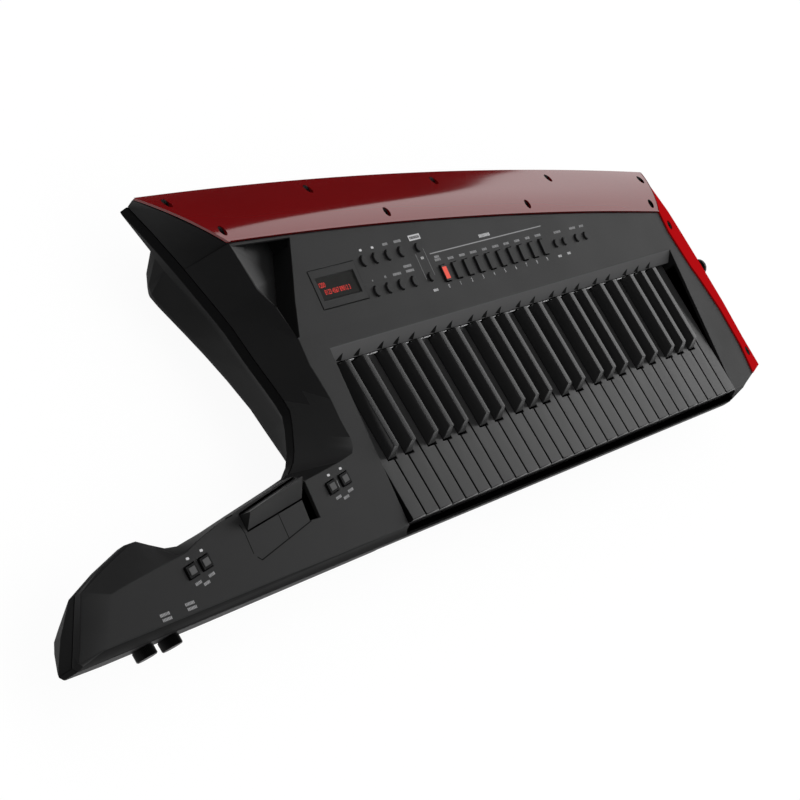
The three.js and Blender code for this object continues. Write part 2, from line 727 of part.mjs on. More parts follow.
function bladeCavity() {
  const spans = bladeSpanShares.slice(1, -1);
  const rowShares = [0.16, 0.5, 0.84];
  const top = spans.map((along) => rowShares.map((across) => (
    bladePoint(along, across, -plateThickness - gap - panelWall))));
  const bottom = top.map((row) => row.map(([x, y]) => [x, y, -partingDepth - overrun]));
  return slab(top, bottom);
}

// The scoop beside the panel falls from the wing's crest to the foot of an upright wall.
function scoop() {
  const crest = scoopCrestShares.map(place);
  const wall = scoopWallShares.map(place);
  const top = [];
  const bottom = [];
  for (let i = crest.length - 1; i >= 0; i -= 1) {
    const edge = crest[i];
    const foot = wall[i];
    top.push([[...foot, panelHeight(foot[1]) + overrun], [...edge, panelHeight(edge[1]) + overrun]]);
    bottom.push([[...foot, panelHeight(foot[1]) - scoopDepth], [...edge, panelHeight(edge[1])]]);
  }
  return slab(top, bottom);
}

// Behind its upright wall the scoop runs on under a thin ledge at the blade's foot.
function scoopUndercut() {
  const [edgeX, edgeY] = place(scoopCrestShares[0]);
  const [footX, footY] = place(scoopWallShares[0]);
  const startShare = 0.3;
  const low = [mix(edgeX, footX, startShare), mix(edgeY, footY, startShare) - overrun];
  const lowDepth = scoopDepth * startShare;
  const roof = (x, y) => [x, y, panelHeight(y) - ledgeThickness];
  const corner = [footX - gap, footY - overrun];
  const top = [
    [roof(...low), roof(low[0], low[1] + overrun + ledgeReach)],
    [roof(...corner), roof(corner[0], corner[1] + overrun + ledgeReach)],
  ];
  const bottom = [
    [[...low, panelHeight(low[1]) - lowDepth], [low[0], top[0][1][1], panelHeight(low[1]) - lowDepth]],
    [
      [...corner, panelHeight(corner[1]) - scoopDepth],
      [corner[0], top[1][1][1], panelHeight(corner[1]) - scoopDepth],
    ],
  ];
  return slab(top, bottom);
}

function keyOpening() {
  const back = tailEnd + saddleWidth;
  const foot = railThickness;
  const strip = panelBack - railRun;
  return prismX([
    [-partingDepth * 2, sharpHeight * 3],
    [-partingDepth * 2, -partingDepth - overrun],
    [back, -partingDepth - overrun],
    [back, panelHeight(back) - panelWall],
    [panelBack + foot, panelHeight(panelBack + foot) - panelWall],
    [strip + foot, railLift],
    [strip, railLift],
    [strip, railLipHeight],
    [panelBack, panelHeight(panelBack)],
    [panelBack, sharpHeight * 3],
  ], openingLeft, openingRight);
}

// The rail carries the panel down to the keys: the opening then cuts its slope and its lip.
function rail() {
  const front = panelBack - railRun - overrun;
  const back = panelBack + railThickness;
  const inside = panelWall / 2;
  return prismX([
    [front, railLift - overrun],
    [back, railLift - overrun],
    [back, panelHeight(back) - inside],
    [front, panelHeight(front) - inside],
  ], openingLeft - rimWall, openingRight + rimWall);
}

function railNotches() {
  const half = sharpBase / 2 + capGap * 2;
  const back = keyLength + sharpStepLength + notchClearance;
  const top = sharpStepHeight + notchClearance;
  return join(sharpCentres.map((centre) => block(
    centre - half, centre + half, keyLength - railThickness, back, -railNotchDepth, top,
  )));
}

const panelCaps = [
  ...capRowShares.flatMap((row) => roundCapXShares.map((x) => ({ radius: roundCapRadius, at: [x, row] }))),
  ...capRowShares.map((row) => ({ radius: linkedCapRadius, at: [linkedCapXShare, row] })),
  ...smallCapXShares.map((x) => ({ radius: smallCapRadius, at: [x, capRowShares[1]] })),
  ...Array.from({ length: padCount }, (_, i) => ({
    width: padWidth, length: padLength, at: [padStartShare + padPitchShare * i, capRowShares[1]],
  })),
];
const neckCaps = neckCapShares.map((at) => ({
  width: neckCapWidth, length: neckCapLength, turn: neckCapTurn, at,
}));

function capOutline(cap, margin) {
  const [x, y] = place(cap.at);
  return cap.radius
    ? circle(cap.radius + margin, x, y)
    : rectangle(cap.width + margin * 2, cap.length + margin * 2, x, y, cap.turn);
}

function keypad(sheetShares, caps) {
  const sheetTop = -panelWall - gap;
  const sheet = prismOnPanel(sheetShares.map(place), sheetTop - keypadThickness, sheetTop);
  const capRoot = sheetTop - keypadThickness / 2;
  const tops = caps.map((cap) => prismOnPanel(capOutline(cap, 0), capRoot, capHeight));
  return join([sheet, ...tops]);
}

function windowOutline(margin) {
  const [[x0, y0], [x1, y1]] = windowShares.map(place);
  return [
    [x0 - margin, y0 - margin], [x1 + margin, y0 - margin],
    [x1 + margin, y1 + margin], [x0 - margin, y1 + margin],
  ];
}

// The bar stands in its own frame: along the fold, square to it, and out of the neck's face.
const barFold = barFoldShares.map(place);
const barRidge = barRidgeShares.map(place);
const barOrigin = new THREE.Vector3(...barFold[0], panelHeight(barFold[0][1]));
const barAlong = new THREE.Vector3(...barFold[1], panelHeight(barFold[1][1])).sub(barOrigin);
const barLength = barAlong.length();
barAlong.normalize();
const panelNormal = new THREE.Vector3(0, -panelSlope, 1).normalize();
const barAcross = new THREE.Vector3().crossVectors(panelNormal, barAlong).normalize();
const barUp = new THREE.Vector3().crossVectors(barAlong, barAcross);
const barWidths = barRidge.map(([x, y]) => (
  new THREE.Vector3(x, y, panelHeight(y)).sub(barOrigin).dot(barAcross)));

function barFrame(solid) {
  const geometry = geometryFrom(solid);
  geometry.applyMatrix4(new THREE.Matrix4().makeBasis(barAlong, barAcross, barUp));
  geometry.translate(barOrigin.x, barOrigin.y, barOrigin.z);
  return solidFrom(geometry);
}

function barSolid() {
  const levels = [
    [-barDepth, barClearance, barBackStep],
    [0, 0, barBackStep],
    [barHeight, undefined, 0],
  ];
  const ring = ([z, front, step]) => [
    [0, front ?? barWidths[0] - barBackStep, z],
    [barLength, front ?? barWidths[1] - barBackStep, z],
    [barLength, barWidths[1] + step, z],
    [0, barWidths[0] + step, z],
  ];
  const rod = roundRodX(barRodRadius, 0, barLength, barRodInset, -barDepth - barRodRadius / 2);
  return barFrame(loft(levels.map(ring)).add(rod));
}

function barOpening() {
  const side = (i, width) => barOrigin.clone()
    .addScaledVector(barAlong, i * barLength + (i ? barClearance : -barClearance))
    .addScaledVector(barAcross, width);
  const corners = [
    side(0, -barClearance),
    side(1, -barClearance),
    side(1, barWidths[1] + barBackStep + barClearance),
    side(0, barWidths[0] + barBackStep + barClearance),
  ];
  const slot = prismOnPanel(corners.map(({ x, y }) => [x, y]), -partingDepth * 2, barHeight);
  return slot.add(prismOnPanel(pitShares.map(place), -pitDepth, barHeight));
}

// The strip falls towards its outer edge; grow widens it along its own slope.
function stripSlab(lift, height, grow) {
  const inner = stripInnerShares.map(place);
  const outer = stripOuterShares.map(place);
  const last = inner.length - 1;
  const back = Math.min(grow, gap);
  const top = [];
  const bottom = [];
  for (let i = last; i >= 0; i -= 1) {
    const [[xi, yi], [xo, yo]] = [inner[i], outer[i]];
    const zi = i === last ? bladeEndHeight : panelHeight(yi) + bladeProud;
    const zo = i === last ? bladeEndHeight : panelHeight(yo) + bladeProud - stripFall;
    const slope = (zo - zi) / (xo - xi);
    const forward = i === 0 ? grow : 0;
    const a = [xo + grow, yo - forward, zo + slope * grow - panelSlope * forward + lift];
    const b = [xi - back, yi - forward, zi - slope * back - panelSlope * forward + lift];
    bottom.push([b, a]);
    top.push([b, a].map(([x, y, z]) => [x, y, z + height]));
  }
  return slab(top, bottom);
}

function strapButton(x, y, z) {
  return roundRodX(strapStemRadius, x - overrun, x + strapLength, y, z)
    .add(roundRodX(strapRadius, x + strapLength - strapPlate, x + strapLength, y, z));
}

function upperCase() {
  const bodyCavity = loft([
    atLevel(bodyCavityShares.map(place), -partingDepth - overrun),
    onSlope(bodyCavityShares.map(place), -panelWall),
  ]);
  const neckCavity = loft([
    atLevel(neckCavityShares.map(place), -partingDepth - overrun),
    onSlope(neckCavityShares.map(place), -panelWall),
  ]);
  const capHoles = join([...panelCaps, ...neckCaps].map((cap) => (
    prismOnPanel(capOutline(cap, capGap), -panelWall * 2, capHeight * 2))));
  const pocket = prismOnPanel(windowOutline(gap), -windowThickness - gap + windowProud, overrun);
  const sight = prismOnPanel(windowOutline(-windowLedge), -panelWall * 2, overrun);
  const [, strapY] = place([1, strapRowShare]);
  const strapX = place(stripOuterShares[4])[0];
  const bosses = bossShares.map(place).map(([x, y]) => (
    roundRodZ(bossRadius, x, y, -partingDepth, panelHeight(y) - panelWall / 2)));
  return panelBody()
    .add(bladeBase())
    .subtract(bladeCavity())
    .subtract(bodyCavity)
    .subtract(neckCavity)
    .add(rail())
    .subtract(keyOpening())
    .subtract(railNotches())
    .subtract(scoop())
    .subtract(scoopUndercut())
    .subtract(capHoles)
    .subtract(pocket)
    .subtract(sight)
    .subtract(barOpening())
    .subtract(stripSlab(-plateThickness - gap, baseDepth, overrun))
    .add(join(bosses))
    .add(strapButton(strapX, strapY, partingDepth * strapHeightShare));
}

// Blade and strip

function bladePanel() {
  const grid = (lift) => bladeSpanShares.map((along) => (
    bladeRowShares.map((across) => bladePoint(along, across, lift))));
  const holes = bladeScrewShares.map(([along, across]) => {
    const [x, y, z] = bladePoint(along, across);
    return roundRodZ(screwHoleRadius, x, y, z - overrun * 2, z + overrun);
  });
  return slab(grid(0), grid(-plateThickness)).subtract(join(holes));
}

function endBlade() {
  const holes = stripScrewShares.map(place).map(([x, y]) => (
    roundRodZ(screwHoleRadius, x, y, panelHeight(y) - overrun * 2, panelHeight(y) + overrun)));
  const bladeEnds = [0, 1].map((along) => {
    const [frontX, frontY] = bladePoint(along, 0);
    const [backX, backY] = bladePoint(along, 1);
    return [[frontX, frontY], [backX + gap * along, backY + overrun]];
  });
  const besideBlade = slab(
    bladeEnds.map((edge) => atLevel(edge, baseDepth)),
    bladeEnds.map((edge) => atLevel(edge, -partingDepth)),
  );
  return stripSlab(-plateThickness, plateThickness, 0).subtract(join(holes)).subtract(besideBlade);
}

// Lower case

function hullRings(insets) {
  const back = [parabola(bladeBackShares), parabola(hullBackShoulderShares), parabola(hullBackBottomShares)];
  const spans = bladeSpanShares.slice(1, -1).reverse();
  return [0, 1, 2].map((level) => inset([
    ...hullStationShares.map((station) => place(station[level])),
    ...spans.map((share) => back[level].getPoint(share)).map(({ x, y }) => [x, y]),
    ...hullWingShares.map((station) => place(station[level])),
  ], insets[level]));
}

function neckRings(distance) {
  const rim = neckHullShares.map(([share]) => place(share));
  const bottom = neckHullShares.map(([, share]) => place(share));
  return [distance ? inset(rim, distance) : rim, distance ? inset(bottom, distance) : bottom];
}

function lowerShell() {
  const [rim, shoulder, edge] = hullRings([0, 0, 0]);
  const body = loft([
    atLevel(inset(edge, baseInset), -baseDepth),
    atLevel(edge, -hullDepth),
    atLevel(shoulder, -shoulderDepth),
    atLevel(rim, lowerTop - rimHeight),
    atLevel(rim, lowerTop),
  ]);
  const [neckRim, neckBottom] = neckRings(0);
  const neck = loft([
    atLevel(neckBottom, -neckDepth),
    neckRim.map(([x, y], i) => [x, y, lowerTop - neckRimHeight * neckHullShares[i][0][2]]),
    atLevel(neckRim, lowerTop),
  ]);
  return body.add(neck);
}

function lowerHollow() {
  const [rim, shoulder, edge] = hullRings([rimWall, caseWall, caseWall]);
  const body = loft([
    atLevel(inset(edge, baseInset), caseWall - baseDepth),
    atLevel(edge, caseWall - hullDepth),
    atLevel(shoulder, -shoulderDepth),
    atLevel(rim, lowerTop - rimHeight + rimWall),
    atLevel(rim, lowerTop + overrun),
  ]);
  const [neckRim, neckBottom] = neckRings(caseWall);
  const neck = loft([
    atLevel(neckBottom, caseWall - neckDepth),
    neckRim.map(([x, y], i) => [
      x, y, lowerTop - neckRimHeight * neckHullShares[i][0][2] + rimWall,
    ]),
    atLevel(neckRim, lowerTop + overrun),
  ]);
  return body.add(neck);
}

function lowerCase() {
  const floor = caseWall - baseDepth;
  const ribTop = -chassisDepth - chassisThickness - gap;
  const ribs = chassisRibShares.map((share) => {
    const y = depthAt(share);
    const ribEnd = keyboardLength - keyPitch * 2;
    return block(keyPitch, ribEnd, y, y + chassisRibThickness, floor - rimWall, ribTop);
  });
  const bosses = bossShares.map(place).map(([x, y]) => (
    roundRodZ(bossRadius, x, y, floor - rimWall, lowerTop)));
  const barRibTop = -barDepth - barRodRadius * 1.5 - gap;
  const barRibs = barRibShares.map((share) => barFrame(block(
    barLength * share - barRibWidth / 2, barLength * share + barRibWidth / 2,
    barRodInset - barRodRadius, barRodInset + barRodRadius, -neckDepth + rimWall, barRibTop,
  )));
  const shaftHoles = knobXShares.map((share) => (
    roundRodY(knobShaftRadius + gap, share * neckLength, -partingDepth * 2, partingDepth, -knobCentreDepth)
  ));
  const [strapX, strapY] = place([strapBackShare, strapBackRowShare]);
  const strapEnd = strapY + strapLength;
  const strapZ = -shoulderDepth - strapRadius;
  const strap = roundRodY(strapStemRadius, strapX, strapY - overrun, strapEnd, strapZ)
    .add(roundRodY(strapRadius, strapX, strapEnd - strapPlate, strapEnd, strapZ));
  return lowerShell()
    .subtract(lowerHollow())
    .add(join([...ribs, ...bosses, ...barRibs]))
    .subtract(join(shaftHoles))
    .add(strap);
}

function knob(share) {
  const x = share * neckLength;
  const wall = place([share, hullStationShares[0][0][1]])[1];
  const back = wall - gap;
  const shaftEnd = wall + knobShaftLength;
  return roundRodY(knobRadius, x, back - knobLength, back, -knobCentreDepth)
    .add(roundRodY(knobShaftRadius, x, back - knobLength / 2, shaftEnd, -knobCentreDepth));
}

function displayWindow() {
  return prismOnPanel(windowOutline(0), windowProud - windowThickness, windowProud);
}

const satinBlack = { color: 0x3a3a3b, roughness: 0.55, metalness: 0 };
const shellBlack = { color: 0x1d1d1e, roughness: 0.6, metalness: 0 };
const glossRed = { color: 0x7a0a0e, roughness: 0.18, metalness: 0 };
const keyBlack = { color: 0x303032, roughness: 0.42, metalness: 0 };
const sharpBlack = { color: 0x161617, roughness: 0.2, metalness: 0 };
const frameGrey = { color: 0x4a4c4e, roughness: 0.8, metalness: 0 };
const rubberBlack = { color: 0x121213, roughness: 0.5, metalness: 0 };
const smokedGlass = { color: 0x2a0a0a, roughness: 0.1, metalness: 0 };

const instrument = new THREE.Group();

function addPart(name, solid, finish) {
  const mesh = new THREE.Mesh(geometryFrom(solid), new THREE.MeshStandardMaterial(finish));
  mesh.name = name;
  instrument.add(mesh);
}

const numbered = (stem, index) => `${stem}_${String(index + 1).padStart(2, "0")}`;

addPart("upper_case", upperCase(), satinBlack);
addPart("lower_case", lowerCase(), shellBlack);
addPart("blade_panel", bladePanel(), glossRed);
addPart("end_blade", endBlade(), glossRed);
addPart("key_chassis", keyChassis(), frameGrey);
addPart("display_window", displayWindow(), smokedGlass);
addPart("panel_keypad", keypad(keypadSheetShares, panelCaps), rubberBlack);
addPart("neck_keypad", keypad(neckSheetShares, neckCaps), rubberBlack);
addPart("modulation_bar", barSolid(), satinBlack);
addPart("volume_knob", knob(knobXShares[1]), rubberBlack);
addPart("assign_knob", knob(knobXShares[0]), rubberBlack);
for (let i = 0; i < naturalCount; i += 1) {
  addPart(numbered("natural_key", i), naturalKey(i), keyBlack);
}
sharpCentres.forEach((centre, i) => addPart(numbered("sharp_key", i), sharpKey(centre), sharpBlack));

// Sets the part on its base, centred.
const bounds = new THREE.Box3().setFromObject(instrument);
const middle = bounds.getCenter(new THREE.Vector3());
instrument.position.set(-middle.x, -middle.y, -bounds.min.z);

export default instrument;
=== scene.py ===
# %% [markdown]
# # A shoulder keyboard, dressed
# The packed model already holds every solid at its real size. This file gives those solids their
# finish: it rounds the edges that catch light, makes the long red blade as one smooth sheet, and
# adds the small things that a mould or a printer adds, such as screws, knurling and marks.

# %% Load the packed model and keep its box
import math
import random

import bmesh
import bpy
from mathutils import Matrix, Vector


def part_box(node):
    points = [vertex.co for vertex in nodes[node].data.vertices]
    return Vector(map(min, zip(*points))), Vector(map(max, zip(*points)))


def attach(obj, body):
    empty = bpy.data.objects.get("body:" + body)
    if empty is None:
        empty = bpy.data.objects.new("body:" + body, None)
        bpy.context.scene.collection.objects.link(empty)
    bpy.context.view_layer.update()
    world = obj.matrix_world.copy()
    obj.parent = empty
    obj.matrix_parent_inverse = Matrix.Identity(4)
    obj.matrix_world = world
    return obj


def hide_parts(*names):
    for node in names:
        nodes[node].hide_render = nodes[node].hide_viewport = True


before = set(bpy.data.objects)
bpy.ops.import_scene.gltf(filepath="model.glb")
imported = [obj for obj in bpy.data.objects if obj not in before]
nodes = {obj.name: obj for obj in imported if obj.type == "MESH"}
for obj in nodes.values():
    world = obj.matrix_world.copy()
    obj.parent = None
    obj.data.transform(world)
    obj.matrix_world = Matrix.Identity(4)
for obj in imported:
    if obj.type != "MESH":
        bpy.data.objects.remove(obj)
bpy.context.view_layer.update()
MM = 0.001

# %% [markdown]
# ## Where things are
# A keyboard maker measures from the first key, so this file does too: x runs up the keys from the
# left side of the lowest one, y runs from the key fronts to the blade, and z is height above the
# key tops, all in millimetres. The corner is read from the first key of the packed model. The
# panel isn't level: it climbs towards the blade at a fixed slope.

# %% The keyboard corner and the panel's slope
KEY_GAP = 1.5
PANEL_SLOPE = 0.116
PANEL_DROP = 3.0

first_low, first_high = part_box("natural_key_01")
corner = Vector((first_low.x - KEY_GAP / 2 * MM, first_low.y, first_high.z))


def at(x, y, z=0.0):
    """A place given in millimetres from the keyboard's corner."""
    return corner + Vector((x, y, z)) * MM


def panel_height(y):
    return PANEL_SLOPE * y - PANEL_DROP


def on_panel(x, y, lift=0.0):
    """A place on the sloping panel, lifted off it by some millimetres."""
    return at(x, y, panel_height(y) + lift)


print("corner", tuple(corner))

# %% [markdown]
# ## The camera
# The photograph looks along the keys from the low end, from well above, with the camera rolled so
# that the keyboard runs up the picture. The place and the directions were fitted to the corners of
# the keys. A long lens keeps the keys nearly parallel. It comes first, because everything after it
# is judged through it.

# %% Set the camera
CAMERA_PLACE = Vector((-2.40044, -0.32696, 1.2532))
CAMERA_FORWARD = Vector((0.886554, 0.1057, -0.450389))
CAMERA_UP = Vector((0.146616, 0.859169, 0.490237))
CAMERA_LENS = 154.3148
CAMERA_SENSOR = 36.0
CAMERA_REACH = 60.0

camera = bpy.data.objects.new("camera", bpy.data.cameras.new("camera"))
bpy.context.scene.collection.objects.link(camera)
camera.data.lens = CAMERA_LENS
camera.data.sensor_width = CAMERA_SENSOR
camera.data.clip_end = CAMERA_REACH
sideways = CAMERA_FORWARD.cross(CAMERA_UP).normalized()
facing = Matrix((sideways, sideways.cross(CAMERA_FORWARD), -CAMERA_FORWARD)).transposed()
camera.matrix_world = Matrix.Translation(CAMERA_PLACE) @ facing.to_4x4()
bpy.context.scene.camera = camera
bpy.context.scene.view_settings.view_transform = "Standard"
print("camera", tuple(camera.location))

# %% [markdown]
# ## Numbers and nodes
# A finish is a graph of nodes. Written by hand, a graph is long and hard to read, so three small
# classes help: the first wraps a number socket so that a Python sum adds the Math nodes, the second
# makes any node in one call, with its settings first and its sockets after them, and the third is
# a material with the few steps that the finishes here share.


# %% A socket that adds up
class Number:
    """A socket that can stand in a Python sum."""

    def __init__(self, tree, socket):
        self.tree = tree
        self.socket = socket

    def maths(self, operation, first, second):
        return self.tree.node("ShaderNodeMath", {"operation": operation}, {0: first, 1: second})

    def __add__(self, other):
        return self.maths("ADD", self, other)

    __radd__ = __add__

    def __mul__(self, other):
        return self.maths("MULTIPLY", self, other)

    __rmul__ = __mul__

    def __sub__(self, other):
        return self.maths("SUBTRACT", self, other)

    def __rsub__(self, other):
        return self.maths("SUBTRACT", other, self)

    def at_most(self, other):
        return self.maths("MINIMUM", self, other)

    def at_least(self, other):
        return self.maths("MAXIMUM", self, other)


print("Number:", Number.__doc__)


# %% A builder for node trees
# A Mix node has sockets for each kind: the two that it mixes, and its result.
MIX_SOCKETS = {"VECTOR": (4, 5, 1), "RGBA": (6, 7, 2)}


class Tree:
    """A node tree that is built call by call."""

    def __init__(self, tree):
        self.tree = tree

    def feed(self, socket, value):
        """Links a socket to a value or to each of a list, or sets a plain value on it."""
        if isinstance(value, list):
            for one in value:
                self.feed(socket, one)
        elif isinstance(value, Number):
            self.tree.links.new(value.socket, socket)
        else:
            socket.default_value = value

    def node(self, kind, settings=None, values=None, output=0):
        made = self.tree.nodes.new(kind)
        for key, value in (settings or {}).items():
            setattr(made, key, value)
        for key, value in (values or {}).items():
            self.feed(made.inputs[key], value)
        return Number(self, made.outputs[output])

    def mix(self, kind, share, first, second):
        """Goes by a share from one vector or colour to another."""
        a, b, result = MIX_SOCKETS[kind]
        return self.node("ShaderNodeMix", {"data_type": kind}, {0: share, a: first, b: second}, result)


print("Tree:", Tree.__doc__)


# %% A material in a few steps
class Finish(Tree):
    """A material around one Principled shader."""

    def __init__(self, name):
        self.material = bpy.data.materials.new(name)
        self.material.use_nodes = True
        super().__init__(self.material.node_tree)
        self.surface = self.tree.nodes["Principled BSDF"]
        self.place = self.node("ShaderNodeTexCoord", output="Object")

    def set(self, **values):
        for key, value in values.items():
            self.feed(self.surface.inputs[key.replace("_", " ")], value)

    def noise(self, size, detail=2.0, roughness=0.5):
        """Noise whose blobs are about this many millimetres wide, from 0 to 1."""
        values = {"Vector": self.place, "Scale": 1 / (size * MM), "Detail": detail,
                  "Roughness": roughness}
        return self.node("ShaderNodeTexNoise", None, values)

    def shaded(self, share, colour, low, high):
        """A colour that wanders between a deeper and a paler shade of itself."""
        deep, pale = (tuple(c * level for c in colour) + (1.0,) for level in (low, high))
        return self.mix("RGBA", share, deep, pale)

    def bump(self, height, depth):
        """Turns a height from 0 to 1 into dents of this depth in millimetres."""
        values = {"Strength": 1.0, "Distance": depth * MM, "Height": height}
        self.set(Normal=self.node("ShaderNodeBump", None, values))


print("Finish:", Finish.__doc__)

# %% [markdown]
# ## Plastics
# Most of the keyboard is moulded plastic. The upper case is satin: a spark-eroded mould leaves a
# fine grain that scatters light. The lower case is darker and rougher, and the key tops are
# smoother than both. The case's steep faces are rougher, and darker as painted shade; the rail and
# the lower case's front wall are lighter, as painted light; the sides of the naturals are nearly
# black, as painted shade between the keys. A noise of a fraction of a millimetre stands for the
# grain, and a broad cloudy noise for the slight changes of gloss that handling and moulding leave.
# Image textures would do it too, but noise on object coordinates needs no unwrapping and holds at any
# scale.

# %% Moulded plastic
CLOUD = 60.0
CLOUD_CHANGE = 0.12
CLOUD_DETAIL = 4.0
GRAIN_DETAIL = 3.0
GRAIN_CONTRAST = 0.6


def moulded(name, colour, rough, gloss, grain=0.35, depth=0.02):
    finish = Finish(name)
    cloud = finish.noise(CLOUD, CLOUD_DETAIL)
    finish.set(Base_Color=finish.shaded(cloud, colour, 1 - CLOUD_CHANGE, 1 + CLOUD_CHANGE))
    finish.set(Roughness=(cloud - 0.5) * CLOUD_CHANGE + rough, Specular_IOR_Level=gloss)
    finish.bump(finish.noise(grain, GRAIN_DETAIL, GRAIN_CONTRAST), depth)
    return finish.material


CASE = (0.015, 0.015, 0.0153)
SHELL = (0.0045, 0.0045, 0.0047)
NATURAL = (0.022, 0.022, 0.0222)
SHARP = (0.021, 0.021, 0.0213)
CHASSIS = (0.045, 0.045, 0.05)
# Painted light: the rail's slope is lighter than the case, as if lit. The neck buttons' faces have this
# grey as their own colour.
RAIL_LIGHT_AND_BUTTON_GREY = (0.085, 0.085, 0.086)
# Painted shade: the case's steep faces are darker than its level ones, in a rougher copy of the case
# plastic.
STEEP_SHADE = (0.012, 0.012, 0.0123)
# Painted light: the lower case's front wall is lighter than the rest of the shell.
FRONT_WALL_LIGHT = (0.032, 0.032, 0.0325)
FELT = (0.8, 0.8, 0.81)
# The knobs' own black; on the naturals' sides the same black is painted shade between the keys.
KNOB_BLACK_AND_GAP_SHADE = (0.003, 0.003, 0.0032)
RUBBER = (0.005, 0.005, 0.0052)

case_plastic = moulded("case_plastic", CASE, rough=0.42, gloss=0.30)
shell_plastic = moulded("shell_plastic", SHELL, rough=0.65, gloss=0.04, grain=0.5)
natural_plastic = moulded("natural_plastic", NATURAL, rough=0.3, gloss=0.5, grain=0.7, depth=0.03)
key_side = moulded("key_side", KNOB_BLACK_AND_GAP_SHADE, rough=0.6, gloss=0.1)
sharp_plastic = moulded("sharp_plastic", SHARP, rough=0.2, gloss=0.5, grain=0.25, depth=0.004)
chassis_plastic = moulded("chassis_plastic", CHASSIS, rough=0.55, gloss=0.4)
rail_plastic = moulded("rail_plastic", RAIL_LIGHT_AND_BUTTON_GREY, rough=0.5, gloss=0.35)
front_plastic = moulded("front_plastic", FRONT_WALL_LIGHT, rough=0.6, gloss=0.1, grain=0.5)
edge_plastic = moulded("edge_plastic", STEEP_SHADE, rough=0.6, gloss=0.1, grain=0.5)
rail_felt = moulded("rail_felt", FELT, rough=0.8, gloss=0.2, grain=0.6, depth=0.06)
knob_plastic = moulded("knob_plastic", KNOB_BLACK_AND_GAP_SHADE, rough=0.5, gloss=0.2)
button_rubber = moulded("button_rubber", RUBBER, rough=0.5, gloss=0.15)
print("mouldings", len(bpy.data.materials))

# %% [markdown]
# ## Red lacquer
# The blade is gloss red lacquer over plastic: deep colour with a clear coat that mirrors the studio.
# Coat Weight gives the mirror, and the colour under it stays dark. Fine flakes would be wrong
# here, because the photograph shows an even colour, so only a faint cloud changes it, and a very
# shallow orange-peel bump breaks the edge of the reflection a little, as sprayed lacquer does. The
# strip on the end is a brighter red without the clear coat, as nothing is mirrored in it.

# %% Lacquer
BLADE_COLOUR = (0.165, 0.0035, 0.0046)
STRIP_COLOUR = (0.45, 0.005, 0.007)
LACQUER_CLOUD = 90.0
LACQUER_SHADES = (0.92, 1.08)
LACQUER_ROUGH = 0.35
LACQUER_CHANGE = 0.02
PEEL_SIZE = 2.5
PEEL_DEPTH = 0.0015
COAT_ROUGH = 0.08


def lacquer(name, colour, coat):
    finish = Finish(name)
    cloud = finish.noise(LACQUER_CLOUD, GRAIN_DETAIL)
    finish.set(Base_Color=finish.shaded(cloud, colour, *LACQUER_SHADES))
    finish.set(Roughness=(cloud - 0.5) * LACQUER_CHANGE + LACQUER_ROUGH)
    finish.set(Coat_Weight=coat, Coat_Roughness=COAT_ROUGH, Specular_IOR_Level=0.0)
    finish.bump(finish.noise(PEEL_SIZE), PEEL_DEPTH)
    return finish.material


blade_red = lacquer("blade_red", BLADE_COLOUR, coat=1.0)
end_red = lacquer("end_red", STRIP_COLOUR, coat=0.0)
print("lacquers", blade_red.name, end_red.name)

# %% [markdown]
# ## Ink, steel and glass
# The small finishes matter only from close by. Ink is matt and a little speckled, and lamps and lit
# figures glow faintly. The screws are blackened, so they stay dark in their holes, and the screen
# is smoked.

# %% Ink
WHITE = (0.6, 0.6, 0.61)
GREY = (0.33, 0.33, 0.335)
# Black for printed marks, and also the painted shade beside the rail's slots.
BLACK_INK_AND_SHADE = (0.003, 0.003, 0.003)
FIGURE_RED = (0.75, 0.05, 0.04)
LENS_RED = (0.8, 0.10, 0.07)
SPECKLE = 0.4
INK_SHADES = (0.85, 1.0)
INK_ROUGH = 0.45
INK_CHANGE = 0.1
INK_GLOSS = 0.05


def printed(name, colour, glow=0.0):
    finish = Finish(name)
    speckle = finish.noise(SPECKLE)
    ink = finish.shaded(speckle, colour, *INK_SHADES)
    rough = speckle * INK_CHANGE + INK_ROUGH
    finish.set(Base_Color=ink, Roughness=rough, Specular_IOR_Level=INK_GLOSS)
    if glow:
        finish.set(Emission_Color=ink, Emission_Strength=glow)
    return finish.material


white_ink = printed("white_ink", WHITE)
grey_ink = printed("grey_ink", GREY)
dark_ink = printed("dark_ink", BLACK_INK_AND_SHADE)
red_glow = printed("red_glow", FIGURE_RED, glow=0.2)
pad_glow = printed("pad_glow", LENS_RED, glow=0.25)
print("finishes", len(bpy.data.materials))

# %% Steel and glass
DARK_GLOSS = 0.1
STEEL_SHADES = ((0.004, 0.003, 0.003, 1), (0.010, 0.008, 0.008, 1))
STEEL_GRAIN = 0.3
STEEL_ROUGH = 0.5
STEEL_CHANGE = 0.15
STEEL_DENT = 0.01
SCREEN_SHADES = ((0.006, 0.009, 0.006, 1), (0.010, 0.007, 0.007, 1))
SCREEN_CLOUD = 14.0
SCREEN_ROUGH = 0.4
SCREEN_CHANGE = 0.1


def screw_steel(name):
    finish = Finish(name)
    brushed = finish.noise(STEEL_GRAIN, GRAIN_DETAIL)
    finish.set(Base_Color=finish.mix("RGBA", brushed, *STEEL_SHADES))
    finish.set(Roughness=brushed * STEEL_CHANGE + STEEL_ROUGH, Specular_IOR_Level=DARK_GLOSS)
    finish.bump(brushed, STEEL_DENT)
    return finish.material


def smoked_screen(name):
    finish = Finish(name)
    tint = finish.noise(SCREEN_CLOUD, detail=1.0)
    finish.set(Base_Color=finish.mix("RGBA", tint, *SCREEN_SHADES))
    finish.set(Roughness=tint * SCREEN_CHANGE + SCREEN_ROUGH, Specular_IOR_Level=DARK_GLOSS)
    return finish.material


dark_steel = screw_steel("dark_steel")
screen_glass = smoked_screen("screen_glass")
print("finishes", len(bpy.data.materials))

